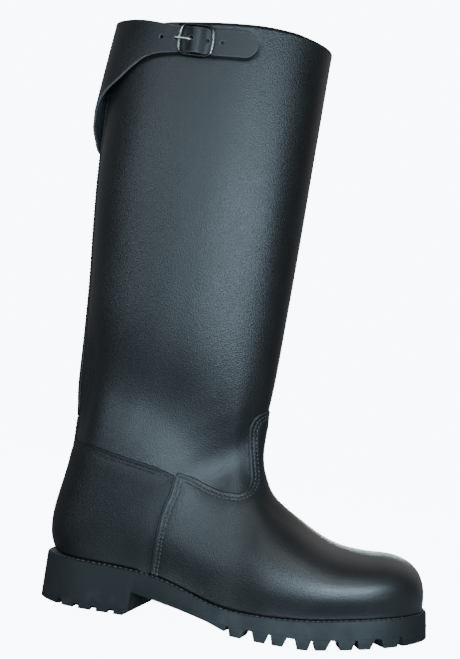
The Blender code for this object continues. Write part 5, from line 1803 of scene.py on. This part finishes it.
count, width = rings.shape[:2]
number = np.arange(count * width).reshape(count, width)
for end in (0, -1):
    number[end, width // 2:] = number[end, :width // 2][::-1]
sole = add_object("sole_rubber", turned_out(lofted("sole", rings, number)))

# %% [markdown]
# The hollows of the tread are cut with booleans, as the mould would leave them. Each cutter is drawn in
# millimetres as one closed body, however many cuts it makes, because every boolean takes time.

# %% Cutter helpers
SIDE_REACH, CUT_EXTRA = 130.0, 4.0


def mesh_tool(name, bm):
    """Object from a bmesh drawn in millimetres, with its faces turned out."""
    bmesh.ops.recalc_face_normals(bm, faces=bm.faces)
    for vert in bm.verts:
        vert.co = Vector(placed(vert.co))
    mesh = bpy.data.meshes.new(name)
    bm.to_mesh(mesh)
    bm.free()
    return add_object(name, mesh)


def pulled(bm, corners, vector):
    """Body pulled out from a face with the given corners."""
    face = bm.faces.new([bm.verts.new(corner) for corner in corners])
    moved = bmesh.ops.extrude_face_region(bm, geom=[face])["geom"]
    verts = [item for item in moved if isinstance(item, bmesh.types.BMVert)]
    bmesh.ops.translate(bm, verts=verts, vec=vector)


print("cutters reach", SIDE_REACH, "mm to each side")

# %% [markdown]
# Between heel and forefoot the sole is hollowed into an arch, and the heel's front face slants. The forefoot
# has a sunk field inside its ring of edge lugs, which follows the toe spring, so its cutter is lofted.

# %% Arch and sunk field
WAIST = ((122.0, 5.6), (137.0, 1.2))
LUG_INSET, CHANNEL_RINGS = 20.0, 40


def arch_tool():
    """Hollow between the heel's slanted breast and the first lug."""
    shear = BREAST_SLANT * SIDE_REACH / float(PLAN_AT["lateral"](HEEL_LENGTH))
    breast = HEEL_LENGTH - shear / 2 + BREAST_SLANT / 2
    below = FLOOR - CUT_EXTRA
    bevelled = breast - BREAST_BEVEL
    outline = [(bevelled, below), (bevelled, FLOOR + GAP), (breast, FLOOR + BREAST_BEVEL),
               (breast, BREAST_HEIGHT), *WAIST, (TREAD_START, FLOOR), (TREAD_START, below)]
    bm = bmesh.new()
    pulled(bm, [(x, -SIDE_REACH, z) for x, z in outline], (shear, 2 * SIDE_REACH, 0.0))
    return mesh_tool("arch", bm)


def channel_tool():
    """Sunk field inside the ring of lugs."""
    bm = bmesh.new()
    rings = []
    start, end = TREAD_START + LUG_INSET / 2, SOLE_LENGTH - LUG_INSET - CUT_EXTRA
    for x in np.linspace(start, end, CHANNEL_RINGS):
        lateral, medial = plan_edges(x, LUG_INSET)
        high, low = tread_z(x) + LUG_DEPTH, FLOOR - CUT_EXTRA
        corners = ((x, lateral, high), (x, medial, high), (x, medial, low), (x, lateral, low))
        rings.append([bm.verts.new(tuple(map(float, corner))) for corner in corners])
    for ring, following in zip(rings, rings[1:]):
        for i in range(4):
            bm.faces.new((ring[i], ring[(i + 1) % 4], following[(i + 1) % 4], following[i]))
    bm.faces.new(rings[0])
    bm.faces.new(rings[-1])
    return mesh_tool("channel", bm)


for make_tool in (arch_tool, channel_tool):
    sole = cut(sole, make_tool(), "DIFFERENCE")
print("arch and field cut,", len(sole.data.polygons), "faces")

# %% [markdown]
# Gaps cut the forefoot's edge into lugs, narrow and wide by turns and square to the outline, and the heel
# has small notches. Cross-shaped lugs are joined on down the middle. A small bevel at the end takes the
# sharp edge off them, as wear does.

# %% Lugs
LUG_PITCH, FIRST_GAP, GAP_COUNT = 16.4, 152.6, 9
NARROW_GAP, WIDE_GAP = (5.4, 1.8), (11.0, 5.6)
HEEL_GAPS, HEEL_GAP = (20.5, 34.0, 48.0, 61.7), (4.4, 3.4, 7.0)
CENTRE_LUG, CENTRE_LUG_START, CENTRE_LUG_PITCH, CENTRE_LUG_COUNT = (24.0, 9.0), 166.0, 25.0, 5
LUG_WORN, LUG_SHARP, SOLE_SHARP = 0.45, 38.0, 32.0


def edge_frame(x, side):
    """Point on the sole's edge, and the direction into the sole square to it."""
    edge = 0 if side < 0 else 1
    before, here, after = (plan_edges(x + step, 0.0)[edge] for step in (-1.0, 0.0, 1.0))
    inward = np.array((side * (after - before) / 2, -side))
    return np.array((x, here)), inward / np.linalg.norm(inward)


def add_notch(bm, x, side, depth, floor_width, root_width, low, high):
    """Wedge that runs into the sole from its edge, square to it."""
    edge, inward = edge_frame(x, side)
    middle = edge + inward * depth / 2
    verts = bmesh.ops.create_cube(bm, size=1.0)["verts"]
    for vert in verts:
        width, z = (floor_width, low) if vert.co.z < 0 else (root_width, high)
        vert.co = Vector((vert.co.x * (depth + CUT_EXTRA), vert.co.y * width, z))
    turn = Matrix.Translation((*middle, 0.0)) @ Matrix.Rotation(math.atan2(inward[1], inward[0]), 4, "Z")
    bmesh.ops.transform(bm, matrix=turn, verts=verts)


def notch_tool():
    """Gaps between the forefoot's lugs, narrow and wide by turns, and the heel's small notches."""
    bm = bmesh.new()
    for side in (-1, 1):
        for i in range(GAP_COUNT):
            x = FIRST_GAP + i * LUG_PITCH
            floor_width, root_width = WIDE_GAP if i % 2 else NARROW_GAP
            add_notch(bm, x, side, LUG_INSET, 2 * floor_width - root_width, root_width,
                      tread_z(x) - LUG_DEPTH, tread_z(x) + LUG_DEPTH)
        width, height, depth = HEEL_GAP
        for x in HEEL_GAPS:
            add_notch(bm, x, side, depth, width, width, FLOOR - height, FLOOR + height)
    return mesh_tool("notches", bm)


def cross_tool():
    """Cross-shaped lugs down the middle of the forefoot."""
    span, arm = CENTRE_LUG
    bm = bmesh.new()
    for i in range(CENTRE_LUG_COUNT):
        x = CENTRE_LUG_START + i * CENTRE_LUG_PITCH
        y, low = sum(plan_edges(x, 0.0)) / 2, tread_z(x + span / 2)
        corners = []
        for quarter in range(4):
            turn = Matrix.Rotation(quarter * math.pi / 2, 2)
            for corner in ((span / 2, -arm / 2), (span / 2, arm / 2), (arm / 2, arm / 2)):
                corners.append(turn @ Vector(corner))
        pulled(bm, [(x + c.x, y + c.y, low) for c in corners], (0.0, 0.0, LUG_DEPTH + CUT_EXTRA))
    return mesh_tool("crosses", bm)


sole = cut(sole, notch_tool(), "DIFFERENCE")
sole = cut(sole, cross_tool(), "UNION")
worn_edge = sole.modifiers.new("worn edge", "BEVEL")
worn_edge.width, worn_edge.segments = LUG_WORN * MM, 2
worn_edge.limit_method, worn_edge.angle_limit = "ANGLE", math.radians(LUG_SHARP)
worn_edge.use_clamp_overlap = True
sole = add_object("sole_rubber", baked(sole))
finish_piece(sole, RUBBER, SOLE_SHARP)
dress(sole, "rubber", "outsole")

# %% [markdown]
# A fine row of stitches in the paler thread, whose tone is a painted glint, runs round the sole's lip, where
# the upper is sewn down. It keeps a fixed distance inside the outline, so it is worked out from the plan, and
# the stitch tree does the rest.

# %% Stitches round the sole's lip
LIP_INSET, LIP_LIFT, LIP_SAMPLES, LIP_ENDS = 2.7, 0.1, 400, 2
LIP_STITCH = (4.2, 3.3, 0.9)
lip_x = np.interp(np.linspace(0.0, travel[-1], LIP_SAMPLES), travel, dense)
lip_x = LIP_INSET + lip_x * (SOLE_LENGTH - 2 * LIP_INSET) / SOLE_LENGTH
lip_rows = []
for edge in plan_edges(lip_x, LIP_INSET):
    points = np.column_stack((lip_x, edge, SEAM_Z(lip_x) + LIP_LIFT))[LIP_ENDS:-LIP_ENDS]
    steps = np.arange(len(points) - 1)
    upwards = np.tile((0.0, 0.0, 1.0), (len(points), 1))
    lip_rows.append((points, upwards, np.column_stack((steps, steps + 1))))
sew("lip_stitches", lip_rows, LIP_STITCH, seed=6, thread=GLINT_THREAD)

# %% [markdown]
# ## Insole
# Inside lies a plain brown leather board, which shows only from above through the shaft. It follows the
# sole's plan, moved in, and the seam's height, with its upper edge rounded over. It is lofted across, from
# one lower edge over the top to the other, so that one loop gives top, edges and underside.

# %% Insole
INSOLE_THICKNESS = 4.0
ACROSS, COLLAPSED, INSOLE_SHARP = 16, 0.001, 40.0
INSOLE_ROUND = ((0.0, 0.6), (0.25, 0.15), (0.6, 0.0))
board_rows = []
for inset, drop in INSOLE_ROUND[::-1]:
    whole = INSOLE_INSET + inset
    x = whole + sole_x * (SOLE_LENGTH - 2 * whole) / SOLE_LENGTH
    board_rows.append((x, plan_edges(x, whole), SEAM_Z(x) + SOLE_GAP + INSOLE_THICKNESS - drop))
x, edges, _ = board_rows[-1]
board_rows.append((x, edges, SEAM_Z(x) + SOLE_GAP))
board = [np.column_stack((x, lateral, z)) for x, (lateral, _), z in board_rows[:0:-1]]
x, (lateral, medial), z = board_rows[0]
for share in np.linspace(0.0, 1.0, ACROSS + 1):
    board.append(np.column_stack((x, lateral + share * (medial - lateral), z)))
board += [np.column_stack((x, medial, z)) for x, (_, medial), z in board_rows[1:]]
rings = np.stack(board, axis=1)
number = np.arange(rings[..., 0].size).reshape(rings.shape[:2])
mesh = turned_out(lofted("insole_board", rings, number), MERGED, COLLAPSED)
insole = add_object("insole_board", mesh)
finish_piece(insole, LEATHER["insole leather"], INSOLE_SHARP)
dress(insole, "insole_leather", "insole")
